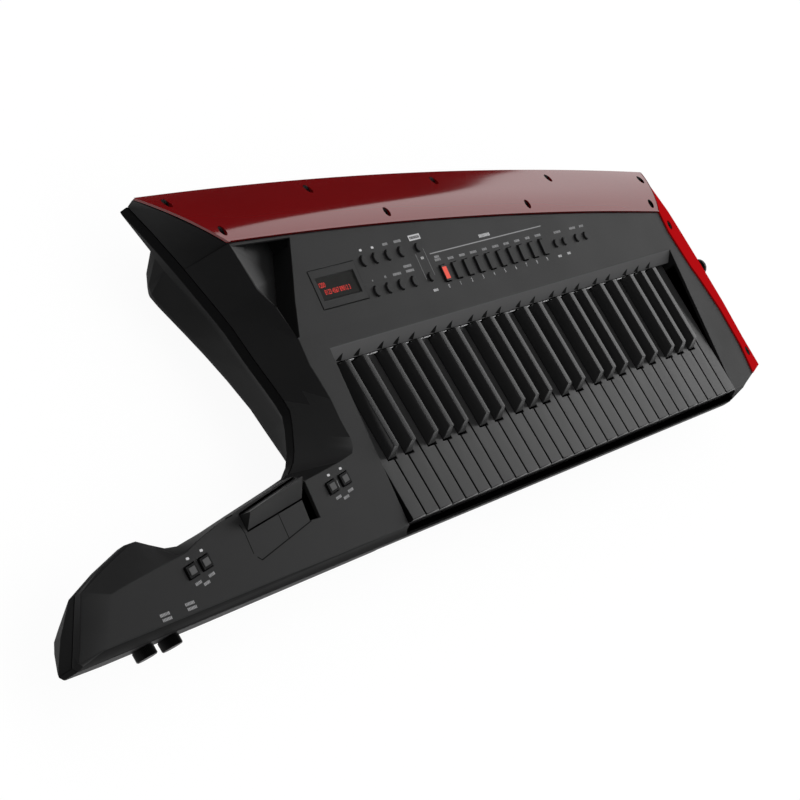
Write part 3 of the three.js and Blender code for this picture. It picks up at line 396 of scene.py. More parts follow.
# %% [markdown]
# ## Rounding a moulding's edges
# No moulded edge is sharp. A packed solid is made of loose triangles with sharp edges, so a copy is
# taken: its doubles are merged, its flat areas become single faces, and the edges that a rule picks
# are rounded by the Bevel operator. The corner normals are then weighted by area, so that big flat
# faces stay flat. The original node is hidden and its copy stands for it.

# %% Copy a node with rounded edges
FLAT = math.radians(0.7)
MERGE = 1e-6


def open_copy(node):
    """The node's mesh as a bmesh with merged corners and whole flat faces."""
    shape = bmesh.new()
    shape.from_mesh(nodes[node].data)
    bmesh.ops.remove_doubles(shape, verts=shape.verts, dist=MERGE)
    bmesh.ops.dissolve_limit(shape, angle_limit=FLAT, verts=shape.verts, edges=shape.edges)
    bmesh.ops.recalc_face_normals(shape, faces=shape.faces)
    return shape


def soften(shape, edges, width, segments=2):
    """Rounds edges to a width in millimetres."""
    bmesh.ops.bevel(shape, geom=edges, offset=width * MM, offset_type="OFFSET", segments=segments,
                    profile=0.5, affect="EDGES")


def round_edges(shape, width, picks, segments=2):
    """Rounds the convex edges that a rule picks and counts them."""
    edges = [e for e in shape.edges if e.is_manifold and e.is_convex and picks(e)]
    if edges:
        soften(shape, edges, width, segments)
    return len(edges)


first_key = open_copy("natural_key_01")
print("faces of the first key", len(nodes["natural_key_01"].data.polygons), "to", len(first_key.faces))
first_key.free()

# %% Make a mesh a finished piece
SMOOTH = math.radians(32)


def baked(made):
    """The mesh that an object's modifiers make."""
    graph = bpy.context.evaluated_depsgraph_get()
    return bpy.data.meshes.new_from_object(made.evaluated_get(graph))


def finished(name, mesh, body, materials=(), replaced=()):
    """Smooths a mesh and makes it a piece; a mesh from a tree brings its own finish."""
    for material in materials if isinstance(materials, (list, tuple)) else [materials]:
        mesh.materials.append(material)
    for face in mesh.polygons:
        face.use_smooth = True
    mesh.set_sharp_from_angle(angle=SMOOTH)
    made = bpy.data.objects.new(name, mesh)
    bpy.context.scene.collection.objects.link(made)
    weigh = made.modifiers.new("weigh", "WEIGHTED_NORMAL")
    weigh.keep_sharp = True
    made.data = baked(made)
    made.modifiers.clear()
    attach(made, body)
    if replaced:
        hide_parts(*replaced)
    return made


def piece(name, shape, body, materials, replaced=()):
    """Turns a bmesh into a finished piece that rides on a body."""
    mesh = bpy.data.meshes.new(name)
    shape.to_mesh(mesh)
    shape.free()
    made = finished(name, mesh, body, materials, replaced)
    print(name, "faces", len(made.data.polygons))


print("edges under", round(math.degrees(SMOOTH)), "degrees are drawn smooth")

# %% [markdown]
# ## The two cases
# The upper and lower case are the big mouldings. Their long outer edges get a radius of a bit more
# than half a millimetre. Short edges belong to holes and ribs: they stay as they are, because a
# bevel that is wider than an edge would fold over itself. After the rounding a rule gives each face
# a finish by the way it faces: painted light on the rail and the lower case's front wall, painted
# shade on the upper case's steep faces. The chassis under the keys hardly shows and gets less.

# %% The upper and the lower case
RAIL_FRONT = 132.0
RAIL_BACK = 142.0
RAIL_MARGIN = 1.0
RAIL_FACING = 0.3
STEEP = 0.8


def long_edge(shortest, least_angle=28.0):
    """A rule that picks long edges with at least this angle, in degrees, between their faces."""
    least = math.radians(least_angle)
    return lambda e: e.calc_length() > shortest * MM and e.calc_face_angle(0.0) > least


def upper_finish(face):
    """The rail is 1, with painted light; the other steep faces are 2, with painted shade; what is nearly
    level is 0.
    """
    away = (face.calc_center_median().y - corner.y) / MM
    near_rail = RAIL_FRONT - RAIL_MARGIN < away < RAIL_BACK + RAIL_MARGIN
    if near_rail and face.normal.y < -RAIL_FACING and face.normal.z > RAIL_FACING:
        return 1
    return 2 if face.normal.z < STEEP else 0


def lower_finish(face):
    """The front wall is 1, with painted light, and the rest is 0."""
    return int(face.normal.y < -STEEP)


def case_shell(node, materials, finish_of, width, shortest):
    shape = open_copy(node)
    print(node, "rounded edges", round_edges(shape, width, long_edge(shortest)))
    for face in shape.faces:
        face.material_index = finish_of(face)
    piece(node + "_skin", shape, "case", materials, [node])


upper_finishes = [case_plastic, rail_plastic, edge_plastic]
lower_finishes = [shell_plastic, front_plastic]
case_shell("upper_case", upper_finishes, upper_finish, width=0.6, shortest=7.0)
case_shell("lower_case", lower_finishes, lower_finish, width=0.8, shortest=9.0)
case_shell("key_chassis", [chassis_plastic], lambda face: 0, width=0.3, shortest=12.0)

# %% [markdown]
# ## The keys
# A piano key has softened top edges, which is where light shows its outline. Each key keeps its own
# piece, because each one swings on its own hinge. The rule picks only the edges at the top, as the
# ribs and the hinge under a key are never seen. The sides of the naturals get a nearly black
# painted shade, which draws a dark line between one key and the next.

# %% The naturals and the sharps
SHARP_HEIGHT = (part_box("sharp_key_01")[1].z - corner.z) / MM
TOP_MARGIN = 0.05
SHARP_MARGIN = 0.1
NATURAL_ANGLE = 0.5
SHARP_ANGLE = 0.3
SIDEWAYS = 0.3


def level_of(vertex):
    """Height above the key tops in millimetres."""
    return (vertex.co.z - corner.z) / MM


def natural_edges(edge):
    at_top = all(level_of(v) > -TOP_MARGIN for v in edge.verts)
    return at_top and edge.calc_face_angle(0.0) > NATURAL_ANGLE


def sharp_edges(edge):
    levels = [level_of(v) for v in edge.verts]
    near_top = max(levels) > SHARP_HEIGHT - SHARP_MARGIN and min(levels) > -SHARP_MARGIN
    return near_top and edge.calc_face_angle(0.0) > SHARP_ANGLE


def key_skins(prefix, materials, picks, width, segments):
    """One piece for each key of a kind; a second material, if given, paints shade on its sides."""
    found = sorted(n for n in nodes if n.startswith(prefix))
    for node in found:
        shape = open_copy(node)
        round_edges(shape, width, picks, segments)
        for face in shape.faces:
            face.material_index = int(abs(face.normal.x) > SIDEWAYS and len(materials) > 1)
        piece(node + "_skin", shape, node, materials, [node])
    return found


naturals = key_skins("natural_key", [natural_plastic, key_side], natural_edges,
                     width=0.95, segments=3)
sharps = key_skins("sharp_key", [sharp_plastic], sharp_edges, width=0.6, segments=2)
print("naturals", len(naturals), "sharps", len(sharps))

# %% [markdown]
# ## The blade
# The blade is one long sheet between two curved edges, so its shape follows a rule: each edge is a
# parabola, the surface runs from one to the other, and it swells and waves slightly between. Geometry
# Nodes apply such a rule well: a fine grid is moved into place by the formula and given its
# thickness, and the sizes stay named inputs. A second tree then drills the screw holes with a
# Boolean, after the outer edges have been rounded.


# %% A builder for geometry trees
class Shape(Tree):
    """A Geometry Nodes tree with named inputs."""

    def __init__(self, name, inputs):
        self.group = bpy.data.node_groups.new(name, "GeometryNodeTree")
        super().__init__(self.group)
        self.group.interface.new_socket("Geometry", in_out="INPUT", socket_type="NodeSocketGeometry")
        self.group.interface.new_socket("Geometry", in_out="OUTPUT", socket_type="NodeSocketGeometry")
        self.names = {}
        for key, kind in inputs.items():
            made = self.group.interface.new_socket(key, in_out="INPUT", socket_type="NodeSocket" + kind)
            self.names[key] = made.identifier
        self.start = self.group.nodes.new("NodeGroupInput")
        self.end = self.group.nodes.new("NodeGroupOutput")

    def given(self, key):
        return Number(self, self.start.outputs[key])

    def vector(self, operation, first, second=None, scale=None):
        values = {0: first}
        if second is not None:
            values[1] = second
        if scale is not None:
            values["Scale"] = scale
        return self.node("ShaderNodeVectorMath", {"operation": operation}, values)

    def upwards(self, length):
        return self.node("ShaderNodeCombineXYZ", None, {"Z": length})

    def cylinder(self, steps, radius, depth):
        values = {"Vertices": steps, "Radius": radius, "Depth": depth}
        return self.node("GeometryNodeMeshCylinder", {"fill_type": "NGON"}, values)

    def carve(self, solid, cutters):
        settings = {"operation": "DIFFERENCE", "solver": "EXACT"}
        return self.node("GeometryNodeMeshBoolean", settings, {"Mesh 1": solid, "Mesh 2": cutters})

    def close(self, geometry, material):
        whole = self.node("GeometryNodeRealizeInstances", None, {0: geometry})
        values = {"Geometry": whole, "Material": material}
        self.feed(self.end.inputs[0], self.node("GeometryNodeSetMaterial", None, values))

    def put_on(self, made, **inputs):
        modifier = made.modifiers.new(self.group.name, "NODES")
        modifier.node_group = self.group
        for key, value in inputs.items():
            modifier[self.names[key]] = value


print("Shape:", Shape.__doc__)


# %% From a tree to a piece
def carrier(name, vertices=()):
    """An object whose mesh is only points, for a tree to work on."""
    mesh = bpy.data.meshes.new(name)
    mesh.from_pydata([tuple(v) for v in vertices], [], [])
    made = bpy.data.objects.new(name, mesh)
    bpy.context.scene.collection.objects.link(made)
    return made


def settle(made, body, replaced=()):
    """Turns an object with live modifiers into a finished piece."""
    mesh = baked(made)
    name = made.name
    bpy.data.objects.remove(made)
    mesh.name = name
    print(name, "faces", len(mesh.polygons))
    finished(name, mesh, body, (), replaced)


print("carrier:", carrier.__doc__)

# %% The blade's rule
BLADE_FRONT = [(-79.0, 237.3), (308.3, 223.0), (695.5, 178.1)]
BLADE_BACK = [(-137.0, 291.5), (293.0, 277.7), (723.0, 222.0)]
BLADE_PROUD = 1.2
BLADE_THICK = 2.5
BLADE_TIP = 8.0
BLADE_END = 12.0
BLADE_BULGE = 2.83
BLADE_WAVE = 0.51
BLADE_COLUMNS = 320
BLADE_ROWS = 24


def hump(share):
    """Nothing at both ends and 1 in the middle, for a plain number or for a socket."""
    return share * (1 - share) * 4


def parabola(points, t):
    (ax, ay), (bx, by), (cx, cy) = points
    a, b, c = (1 - t) ** 2, 2 * t * (1 - t), t * t
    return a * ax + b * bx + c * cx, a * ay + b * by + c * cy


def blade_point(t, v):
    """A point of the blade's upper face: t runs along it and v across it."""
    fx, fy = parabola(BLADE_FRONT, t)
    bx, by = parabola(BLADE_BACK, t)
    front = panel_height(fy) + BLADE_PROUD
    back = BLADE_TIP + (BLADE_END - BLADE_TIP) * t
    rise = hump(v) * BLADE_BULGE + hump(t) * BLADE_WAVE * math.sin(2 * math.pi * v)
    return Vector((fx + (bx - fx) * v, fy + (by - fy) * v, front + (back - front) * v + rise))


def edge_formula(shape, points, t, height):
    """The same parabola as nodes: a vector for each place along the edge."""
    rest = 1 - t
    total = None
    for (x, y), share in zip(points, (rest * rest, rest * t * 2, t * t)):
        flat = shape.vector("SCALE", (x, y, 0.0), scale=share)
        total = flat if total is None else shape.vector("ADD", total, flat)
    return shape.vector("ADD", total, shape.upwards(height))


print("blade from", tuple(blade_point(0, 0)), "to", tuple(blade_point(1, 1)))

# %% The blade's tree
slab = Shape("blade_slab", {"Thickness": "Float", "Bulge": "Float", "Wave": "Float", "Proud": "Float",
                            "Corner": "Vector"})
grid_values = {"Size X": 1.0, "Size Y": 1.0, "Vertices X": BLADE_COLUMNS, "Vertices Y": BLADE_ROWS}
grid = slab.node("GeometryNodeMeshGrid", None, grid_values)
grid_place = slab.node("GeometryNodeInputPosition")
along = slab.node("ShaderNodeSeparateXYZ", None, {0: grid_place}, output="X") + 0.5
across = slab.node("ShaderNodeSeparateXYZ", None, {0: grid_place}, output="Y") + 0.5
rest_along = 1 - along
front_y = (rest_along * rest_along * BLADE_FRONT[0][1] + rest_along * along * 2 * BLADE_FRONT[1][1]
           + along * along * BLADE_FRONT[2][1])
front_height = front_y * PANEL_SLOPE - PANEL_DROP + slab.given("Proud")
back_height = along * (BLADE_END - BLADE_TIP) + BLADE_TIP
front_edge = edge_formula(slab, BLADE_FRONT, along, front_height)
back_edge = edge_formula(slab, BLADE_BACK, along, back_height)
sheet = slab.mix("VECTOR", across, front_edge, back_edge)
swing = slab.node("ShaderNodeMath", {"operation": "SINE"}, {0: across * (2 * math.pi)})
wave = hump(along) * swing * slab.given("Wave")
swell = hump(across) * slab.given("Bulge") + wave
in_mm = slab.vector("ADD", sheet, slab.upwards(swell))
placed = slab.vector("ADD", slab.vector("SCALE", in_mm, scale=MM), slab.given("Corner"))
over = slab.node("GeometryNodeSetPosition", None, {"Geometry": grid, "Position": placed})
down = {"Mesh": over, "Offset": slab.upwards(-1.0), "Offset Scale": slab.given("Thickness"),
        "Individual": False}
under = slab.node("GeometryNodeExtrudeMesh", {"mode": "FACES"}, down)
both = slab.node("GeometryNodeJoinGeometry", None, {0: [over, under]})
merge_values = {"Geometry": both, "Distance": MERGE}
slab.close(slab.node("GeometryNodeMergeByDistance", None, merge_values), blade_red)
print("nodes in the blade's tree", len(slab.group.nodes))

# %% [markdown]
# ## Screws along the blade
# Nine screws hold the blade and two hold the red strip at the end. Each sits below the surface in a
# round hole, so it reads as a dark spot from any side. The blade's places are shares along and
# across it, as the screws follow its edges, and a tree drills a hole at each point.

# %% Drill and round the blade
SCREW_SHARES = [
    (0.0175, 0.19), (0.343, 0.195), (0.663, 0.18), (0.983, 0.172),
    (0.021, 0.8135), (0.267, 0.794), (0.515, 0.79), (0.765, 0.785), (0.986, 0.779),
]
SCREW_STEPS = 28
HOLE_RADIUS = 4.6
HOLE_LENGTH = 20.0
BLADE_ROUND = 0.4
BLADE_ROUND_ANGLE = 50
screw_places = [blade_point(t, v) for t, v in SCREW_SHARES]

drill = Shape("screw_holes", {"Radius": "Float", "Depth": "Float"})
bit = drill.cylinder(SCREW_STEPS, drill.given("Radius"), drill.given("Depth"))
hole_points = carrier("hole_points", [at(*p) for p in screw_places])
hole_places = drill.node("GeometryNodeObjectInfo", {"transform_space": "RELATIVE"},
                         {"Object": hole_points}, output="Geometry")
bits = drill.node("GeometryNodeInstanceOnPoints", None, {"Points": hole_places, "Instance": bit})
whole_bits = drill.node("GeometryNodeRealizeInstances", None, {0: bits})
drill.close(drill.carve(drill.given("Geometry"), [whole_bits]), blade_red)

blade = carrier("red_blade")
slab.put_on(blade, Thickness=BLADE_THICK * MM, Bulge=BLADE_BULGE, Wave=BLADE_WAVE,
            Proud=BLADE_PROUD, Corner=corner)
edge_round = blade.modifiers.new("rounding", "BEVEL")
edge_round.width = BLADE_ROUND * MM
edge_round.segments = 2
edge_round.limit_method = "ANGLE"
edge_round.angle_limit = math.radians(BLADE_ROUND_ANGLE)
drill.put_on(blade, Radius=HOLE_RADIUS * MM, Depth=HOLE_LENGTH * MM)
settle(blade, "case", ["blade_panel"])
bpy.data.objects.remove(hole_points)

# %% [markdown]
# ## The end strip and the screw heads
# The red strip down the right end keeps its packed shape with rounded edges. The heads are short
# cylinders with a cross cut into them. One head is modelled, and a tree puts a copy on every
# point: the nine of the blade and the middles of the strip's two holes.

# %% The end strip, and a head on every point
STRIP_SCREWS = [(753.4, 29.2), (707.3, 163.5)]
STRIP_ROUND = 0.5
STRIP_SHORTEST = 5.0
STRIP_ANGLE = 35.0
HEAD_RADIUS = 4.2
HEAD_DEPTH = 1.4
HEAD_SUNK = 1.5
CROSS_LONG = 5.0
CROSS_WIDE = 1.0
CROSS_DEEP = 1.6

strip = open_copy("end_blade")
round_edges(strip, STRIP_ROUND, long_edge(STRIP_SHORTEST, STRIP_ANGLE))
piece("red_end_strip", strip, "case", end_red, ["end_blade"])

heads = Shape("screw_heads", {"Radius": "Float", "Depth": "Float"})
head = heads.cylinder(SCREW_STEPS, heads.given("Radius"), heads.given("Depth"))
arms = []
for width, length in ((CROSS_LONG, CROSS_WIDE), (CROSS_WIDE, CROSS_LONG)):
    arm = heads.node("GeometryNodeMeshCube", None, {"Size": (width * MM, length * MM, CROSS_DEEP * MM)})
    lifted = {"Geometry": arm, "Translation": (0.0, 0.0, HEAD_DEPTH / 2 * MM)}
    arms.append(heads.node("GeometryNodeTransform", None, lifted))
on_points = {"Points": heads.given("Geometry"), "Instance": heads.carve(head, arms),
             "Rotation": (math.atan(PANEL_SLOPE), 0.0, 0.0)}
heads.close(heads.node("GeometryNodeInstanceOnPoints", None, on_points), dark_steel)

strip_places = [Vector((x, y, panel_height(y) + BLADE_PROUD)) for x, y in STRIP_SCREWS]
sunk = Vector((0, 0, HEAD_SUNK + HEAD_DEPTH / 2))
screws = carrier("screws", [at(*(p - sunk)) for p in screw_places + strip_places])
heads.put_on(screws, Radius=HEAD_RADIUS * MM, Depth=HEAD_DEPTH * MM)
settle(screws, "case")

# %% [markdown]
# ## The knobs
# Two small wheels stand out of the neck's front edge. Their rims are finely knurled so that a thumb
# can turn them. The core is a plain wheel and the ridges are one thin bar repeated round it by a
# tree: the count and the sizes are inputs.

# %% Knurled knobs
KNOB_RADIUS = 7.75
KNOB_LENGTH = 7.4
KNOB_STEPS = 64
RIDGES = 40
RIDGE_DEPTH = 0.5
RIDGE_WIDTH = 0.55
RIDGE_SHORTER = 1.0

knurl = Shape("knurled_wheel", {"Radius": "Float", "Length": "Float", "Ridges": "Int", "Centre": "Vector"})
core = knurl.cylinder(KNOB_STEPS, knurl.given("Radius") - RIDGE_DEPTH * MM, knurl.given("Length"))
ring_values = {"Vertices": knurl.given("Ridges"), "Radius": knurl.given("Radius") - RIDGE_DEPTH * MM}
ring = knurl.node("GeometryNodeMeshCircle", None, ring_values)
ridge_size = knurl.node("ShaderNodeCombineXYZ", None, {
    "X": RIDGE_DEPTH * 2 * MM, "Y": RIDGE_WIDTH * MM, "Z": knurl.given("Length") - RIDGE_SHORTER * MM})
ridge = knurl.node("GeometryNodeMeshCube", None, {"Size": ridge_size})
outward = knurl.node("FunctionNodeAlignEulerToVector", {"axis": "X"},
                     {"Vector": knurl.node("GeometryNodeInputPosition")})
ridge_points = {"Points": ring, "Instance": ridge, "Rotation": outward}
around = knurl.node("GeometryNodeInstanceOnPoints", None, ridge_points)
wheel = knurl.node("GeometryNodeJoinGeometry", None, {0: [core, around]})
turned = {"Geometry": wheel, "Translation": knurl.given("Centre"), "Rotation": (math.pi / 2, 0.0, 0.0)}
knurl.close(knurl.node("GeometryNodeTransform", None, turned), knob_plastic)

for node in ("volume_knob", "assign_knob"):
    low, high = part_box(node)
    length = KNOB_LENGTH * MM
    centre = Vector(((low.x + high.x) / 2, low.y + length / 2, (low.z + high.z) / 2))
    knob = carrier(node + "_wheel")
    knurl.put_on(knob, Radius=KNOB_RADIUS * MM, Length=length, Ridges=RIDGES, Centre=centre)
    settle(knob, node, [node])

# %% [markdown]
# ## Small things on the panel
# The buttons, the printed marks and the screen all lie on the sloping panel. Each is drawn upright
# around its own middle in millimetres and then set down, which leans it with the slope. A button is
# a short solid with a rounded rim: a plain Bevel on the top edge does that. Rows of like buttons
# are one pattern laid on points by a tree, so a row can't drift out of line.

# %% Upright solids
ROUND_STEPS = 36


def circle(radius):
    turns = [2 * math.pi * i / ROUND_STEPS for i in range(ROUND_STEPS)]
    return [(radius * math.cos(a), radius * math.sin(a)) for a in turns]


def rectangle(width, length):
    x, y = width / 2, length / 2
    return [(-x, -y), (x, -y), (x, y), (-x, y)]


def upright(shape, outline, low, high):
    """Adds a closed solid between two heights and gives its top face."""
    under = [shape.verts.new(Vector((x, y, low)) * MM) for x, y in outline]
    over = [shape.verts.new(Vector((x, y, high)) * MM) for x, y in outline]
    shape.faces.new(list(reversed(under)))
    top = shape.faces.new(over)
    for i in range(len(outline)):
        j = (i + 1) % len(outline)
        shape.faces.new((under[i], under[j], over[j], over[i]))
    return top


print("corners of a round cap", len(circle(1.0)))

# %% Caps
LEAN = math.atan(PANEL_SLOPE)
RIM_STEPS = 4


def cap(outline, low, high, rim, corner_round=0.0):
    """A button cap with a rounded rim, drawn around its own middle."""
    shape = bmesh.new()
    top = upright(shape, outline, low, high)
    if corner_round:
        posts = [e for e in shape.edges if abs(e.verts[0].co.z - e.verts[1].co.z) > rim * MM]
        soften(shape, posts, corner_round, RIM_STEPS)
        top = max(shape.faces, key=lambda f: f.calc_center_median().z)
    soften(shape, list(top.edges), rim, RIM_STEPS)
    return shape


def set_down(shape, x, y, lift=0.0, turn=0.0):
    """Moves a shape from its own middle to its place on the panel."""
    move = Matrix.Translation(on_panel(x, y, lift)) @ Matrix.Rotation(LEAN, 4, "X")
    bmesh.ops.transform(shape, matrix=move @ Matrix.Rotation(turn, 4, "Z"), verts=shape.verts)
    return shape


print("the panel leans", round(math.degrees(LEAN), 1), "degrees")

# %% Copies on points
copies = Shape("copies_on_points", {"Pattern": "Object", "Lean": "Float", "Turn": "Float",
                                    "Finish": "Material"})
one = copies.node("GeometryNodeObjectInfo", {"transform_space": "ORIGINAL"},
                  {"Object": copies.given("Pattern")}, output="Geometry")
leaning = copies.node("ShaderNodeCombineXYZ", None, {"X": copies.given("Lean"), "Z": copies.given("Turn")})
many = copies.node("GeometryNodeInstanceOnPoints", None, {
    "Points": copies.given("Geometry"), "Instance": one, "Rotation": leaning})
copies.close(many, copies.given("Finish"))


def repeated(name, shape, places, body, material, turn=0.0):
    """Lays a bmesh on each place and makes one piece of all the copies."""
    pattern = carrier(name + "_one")
    shape.to_mesh(pattern.data)
    shape.free()
    made = carrier(name, places)
    copies.put_on(made, Pattern=pattern, Lean=LEAN, Turn=turn, Finish=material)
    settle(made, body)
    bpy.data.objects.remove(pattern)


print("nodes in the tree for copies", len(copies.group.nodes))

# %% [markdown]
# ## The panel's buttons
# Under the panel lies one rubber sheet and the caps stand on it, as in most instruments, so all of
# them ride on the keypad's body. The first of the ten rectangular buttons is lit from inside: a clear
# red lens sits in its cap with a lamp under it, which a little emission stands for. Places are
# shares of the body's depth and reach.

# %% The rubber sheet
BODY_DEPTH = 292.0
RIGHT_REACH = 768.0
NECK_LENGTH = 475.0
SHEET_LEVELS = (-4.5, -3.3)
PANEL_SHEET_SHARES = [
    (0.126, 0.572), (0.691, 0.572), (0.691, 0.625), (0.276, 0.625), (0.276, 0.707), (0.126, 0.707),
]
slope = Matrix.Identity(4)
slope[2][1] = PANEL_SLOPE
down_to_panel = Matrix.Translation(at(0, 0, -PANEL_DROP)) @ slope


def rubber_sheet(node, shares, reach):
    """The sheet that carries a keypad's caps, with its corners given as shares."""
    shape = bmesh.new()
    upright(shape, [(x * reach, y * BODY_DEPTH) for x, y in shares], *SHEET_LEVELS)
    bmesh.ops.transform(shape, matrix=down_to_panel, verts=shape.verts)
    piece(node + "_sheet", shape, node, button_rubber, [node])


rubber_sheet("panel_keypad", PANEL_SHEET_SHARES, RIGHT_REACH)

# %% The panel's caps
CAP_TOP = 1.4
CAP_ROOT = -3.9
ROUND_RIM = 0.7
ROWS_Y = (0.6842 * BODY_DEPTH, 0.5969 * BODY_DEPTH)
ROUND_X = [share * RIGHT_REACH for share in (0.138, 0.1656, 0.1944, 0.2246)]
LINKED_X = 0.2638 * RIGHT_REACH
SMALL_X = [share * RIGHT_REACH for share in (0.5905, 0.6148, 0.6503, 0.6755)]
PAD_START = 0.2995 * RIGHT_REACH
PAD_PITCH = 0.02852 * RIGHT_REACH
PAD_COUNT = 10
PAD_SIZE = (9.6, 13.6)
LENS_SIZE = (7.6, 10.4)
LENS_SUNK = 0.4
LENS_PROUD = 0.06


def panel_caps(name, shape, places):
    repeated(name, shape, [on_panel(x, y) for x, y in places], "panel_keypad", case_plastic)


for name, radius, places in (
    ("large_round_buttons", 4.15, [(x, y) for y in ROWS_Y for x in ROUND_X]),
    ("linked_round_buttons", 3.45, [(LINKED_X, y) for y in ROWS_Y]),
    ("small_round_buttons", 3.25, [(x, ROWS_Y[1]) for x in SMALL_X]),
):
    panel_caps(name, cap(circle(radius), CAP_ROOT, CAP_TOP, ROUND_RIM), places)
pad = cap(rectangle(*PAD_SIZE), CAP_ROOT, CAP_TOP, rim=0.35, corner_round=0.6)
panel_caps("rectangular_buttons", pad, [(PAD_START + PAD_PITCH * i, ROWS_Y[1]) for i in range(PAD_COUNT)])
lens = cap(rectangle(*LENS_SIZE), CAP_TOP - LENS_SUNK, CAP_TOP + LENS_PROUD, LENS_PROUD, corner_round=0.4)
piece("lit_lens", set_down(lens, PAD_START, ROWS_Y[1]), "panel_keypad", pad_glow)

# %% [markdown]
# ## The neck's buttons
# Two pairs of small rectangular buttons stand on the neck, turned a little so that they follow its
# edge. Each is a black frame with a grey key face in it, so a smaller grey cap stands in each black
# one.

# %% The neck's buttons
NECK_CAP_SHARES = [(-0.1836, 0.1534), (-0.1368, 0.1613), (-0.6518, 0.0849), (-0.6092, 0.0921)]
NECK_SHEET_SHARES = [
    (-0.6781, 0.04), (-0.1181, 0.04), (-0.1151, 0.18), (-0.2055, 0.172), (-0.2075, 0.085),
    (-0.3082, 0.082), (-0.5753, 0.075), (-0.5805, 0.112), (-0.6781, 0.105),
]
NECK_TURN = 0.11
NECK_CAP_SIZE = (14.2, 8.4)
NECK_FACE_SIZE = (NECK_CAP_SIZE[0] - 5.4, NECK_CAP_SIZE[1] - 3.2)
FACE_PROUD = 0.3

rubber_sheet("neck_keypad", NECK_SHEET_SHARES, NECK_LENGTH)
neck_spots = [on_panel(x * NECK_LENGTH, y * BODY_DEPTH) for x, y in NECK_CAP_SHARES]
neck_frame = cap(rectangle(*NECK_CAP_SIZE), CAP_ROOT, CAP_TOP - FACE_PROUD, rim=0.3, corner_round=0.6)
repeated("neck_buttons", neck_frame, neck_spots, "neck_keypad", button_rubber, NECK_TURN)
neck_face = cap(rectangle(*NECK_FACE_SIZE), 0.0, CAP_TOP, rim=0.3, corner_round=0.5)
repeated("neck_button_faces", neck_face, neck_spots, "neck_keypad", rail_plastic, NECK_TURN)

# %% [markdown]
# ## The display
# A frame of the panel's own colour stands in the opening, with a well in it. The dark screen lies
# at the bottom of the well and shows two rows of red numbers. The frame is one plate: its top face
# is inset twice, the second time downwards, and the face that is left is the screen.

# %% The display
DISPLAY_X_SHARES = (0.0182, 0.1172)
DISPLAY_Y_SHARES = (0.5856, 0.6918)
DISPLAY_ROOT = -1.3
DISPLAY_PROUD = 0.3
DISPLAY_RIM = 0.25
DISPLAY_FRAME = 5.8
WELL_SLOPE = 0.9
WELL_DEPTH = 0.8
SCREEN_LIFT = DISPLAY_PROUD - WELL_DEPTH
left, right = (share * RIGHT_REACH for share in DISPLAY_X_SHARES)
near, far = (share * BODY_DEPTH for share in DISPLAY_Y_SHARES)

display = bmesh.new()
plate_top = upright(display, rectangle(right - left, far - near), DISPLAY_ROOT, DISPLAY_PROUD)
soften(display, list(plate_top.edges), DISPLAY_RIM)
plate_top = max(display.faces, key=lambda f: f.calc_area() * f.normal.z)
for inset, depth in ((DISPLAY_FRAME, 0.0), (WELL_SLOPE, -WELL_DEPTH)):
    bmesh.ops.inset_region(display, faces=[plate_top], thickness=inset * MM, depth=depth * MM,
                           use_even_offset=True)
plate_top.material_index = 1
set_down(display, (left + right) / 2, (near + far) / 2)
piece("display_screen", display, "case", [case_plastic, screen_glass], ["display_window"])

# %% [markdown]
# ## Marks
# A panel is printed with ink, which is thin, so each mark is a solid a few hundredths of a
# millimetre high. The marks are plain: rows of small blocks, lozenges, lines, and numbers under
# the buttons. The blocks' widths are drawn from a fixed seed, so every run gives the same rows. A
# number comes from a text object that is turned into a mesh before it is placed, since an export
# knows nothing of text.

# %% Blocks, lozenges and lines
INK = 0.04
LOZENGE_STEPS = 8
LOZENGE_WIDTH = 4.5
LOZENGE_LENGTH = 1.9


def joined(shape, other):
    """Adds one bmesh to another and throws the second away."""
    mesh = bpy.data.meshes.new("joining")
    other.to_mesh(mesh)
    other.free()
    shape.from_mesh(mesh)
    bpy.data.meshes.remove(mesh)


def patch(shape, outline, x, y, turn=0.0, lift=0.0):
    """A flat patch of ink with an outline around its own middle."""
    mark = bmesh.new()
    upright(mark, outline, 0.0, INK)
    joined(shape, set_down(mark, x, y, lift, turn))


def lozenge(shape, x, y, width=LOZENGE_WIDTH, length=LOZENGE_LENGTH):
    """A bar with round ends."""
    turns = [math.pi * (i / LOZENGE_STEPS - 0.5) for i in range(LOZENGE_STEPS + 1)]
    half = [((width - length) / 2 + length / 2 * math.cos(a), length / 2 * math.sin(a)) for a in turns]
    patch(shape, half + [(-px, -py) for px, py in half], x, y)


def line(shape, start, end, width):
    (ax, ay), (bx, by) = start, end
    outline = rectangle(math.hypot(bx - ax, by - ay), width)
    patch(shape, outline, (ax + bx) / 2, (ay + by) / 2, turn=math.atan2(by - ay, bx - ax))


print("ink is", INK, "mm thick")

# %% Rows of blocks
LABEL_HEIGHT = 2.1
BLOCK_PITCH = 0.85
BLOCK_LEAST = 0.55
BLOCK_MOST = 0.8
SEED = 7
chance = random.Random(SEED)


def label(shape, x, y, count, height=LABEL_HEIGHT, lift=0.0, turn=0.0):
    """A row of small plain blocks."""
    pitch = height * BLOCK_PITCH
    for i in range(count):
        width = pitch * chance.uniform(BLOCK_LEAST, BLOCK_MOST)
        away = (i - (count - 1) / 2) * pitch
        patch(shape, rectangle(width, height), x + away * math.cos(turn), y + away * math.sin(turn),
              turn, lift)


def inked(name, shape, ink):
    piece(name, shape, "case", ink)


print("blocks every", LABEL_HEIGHT * BLOCK_PITCH, "mm")

# %% Numbers
FIGURE_SHARE = 0.7
FIGURE_STEPS = 3
FIGURE_MERGE = MERGE / 10


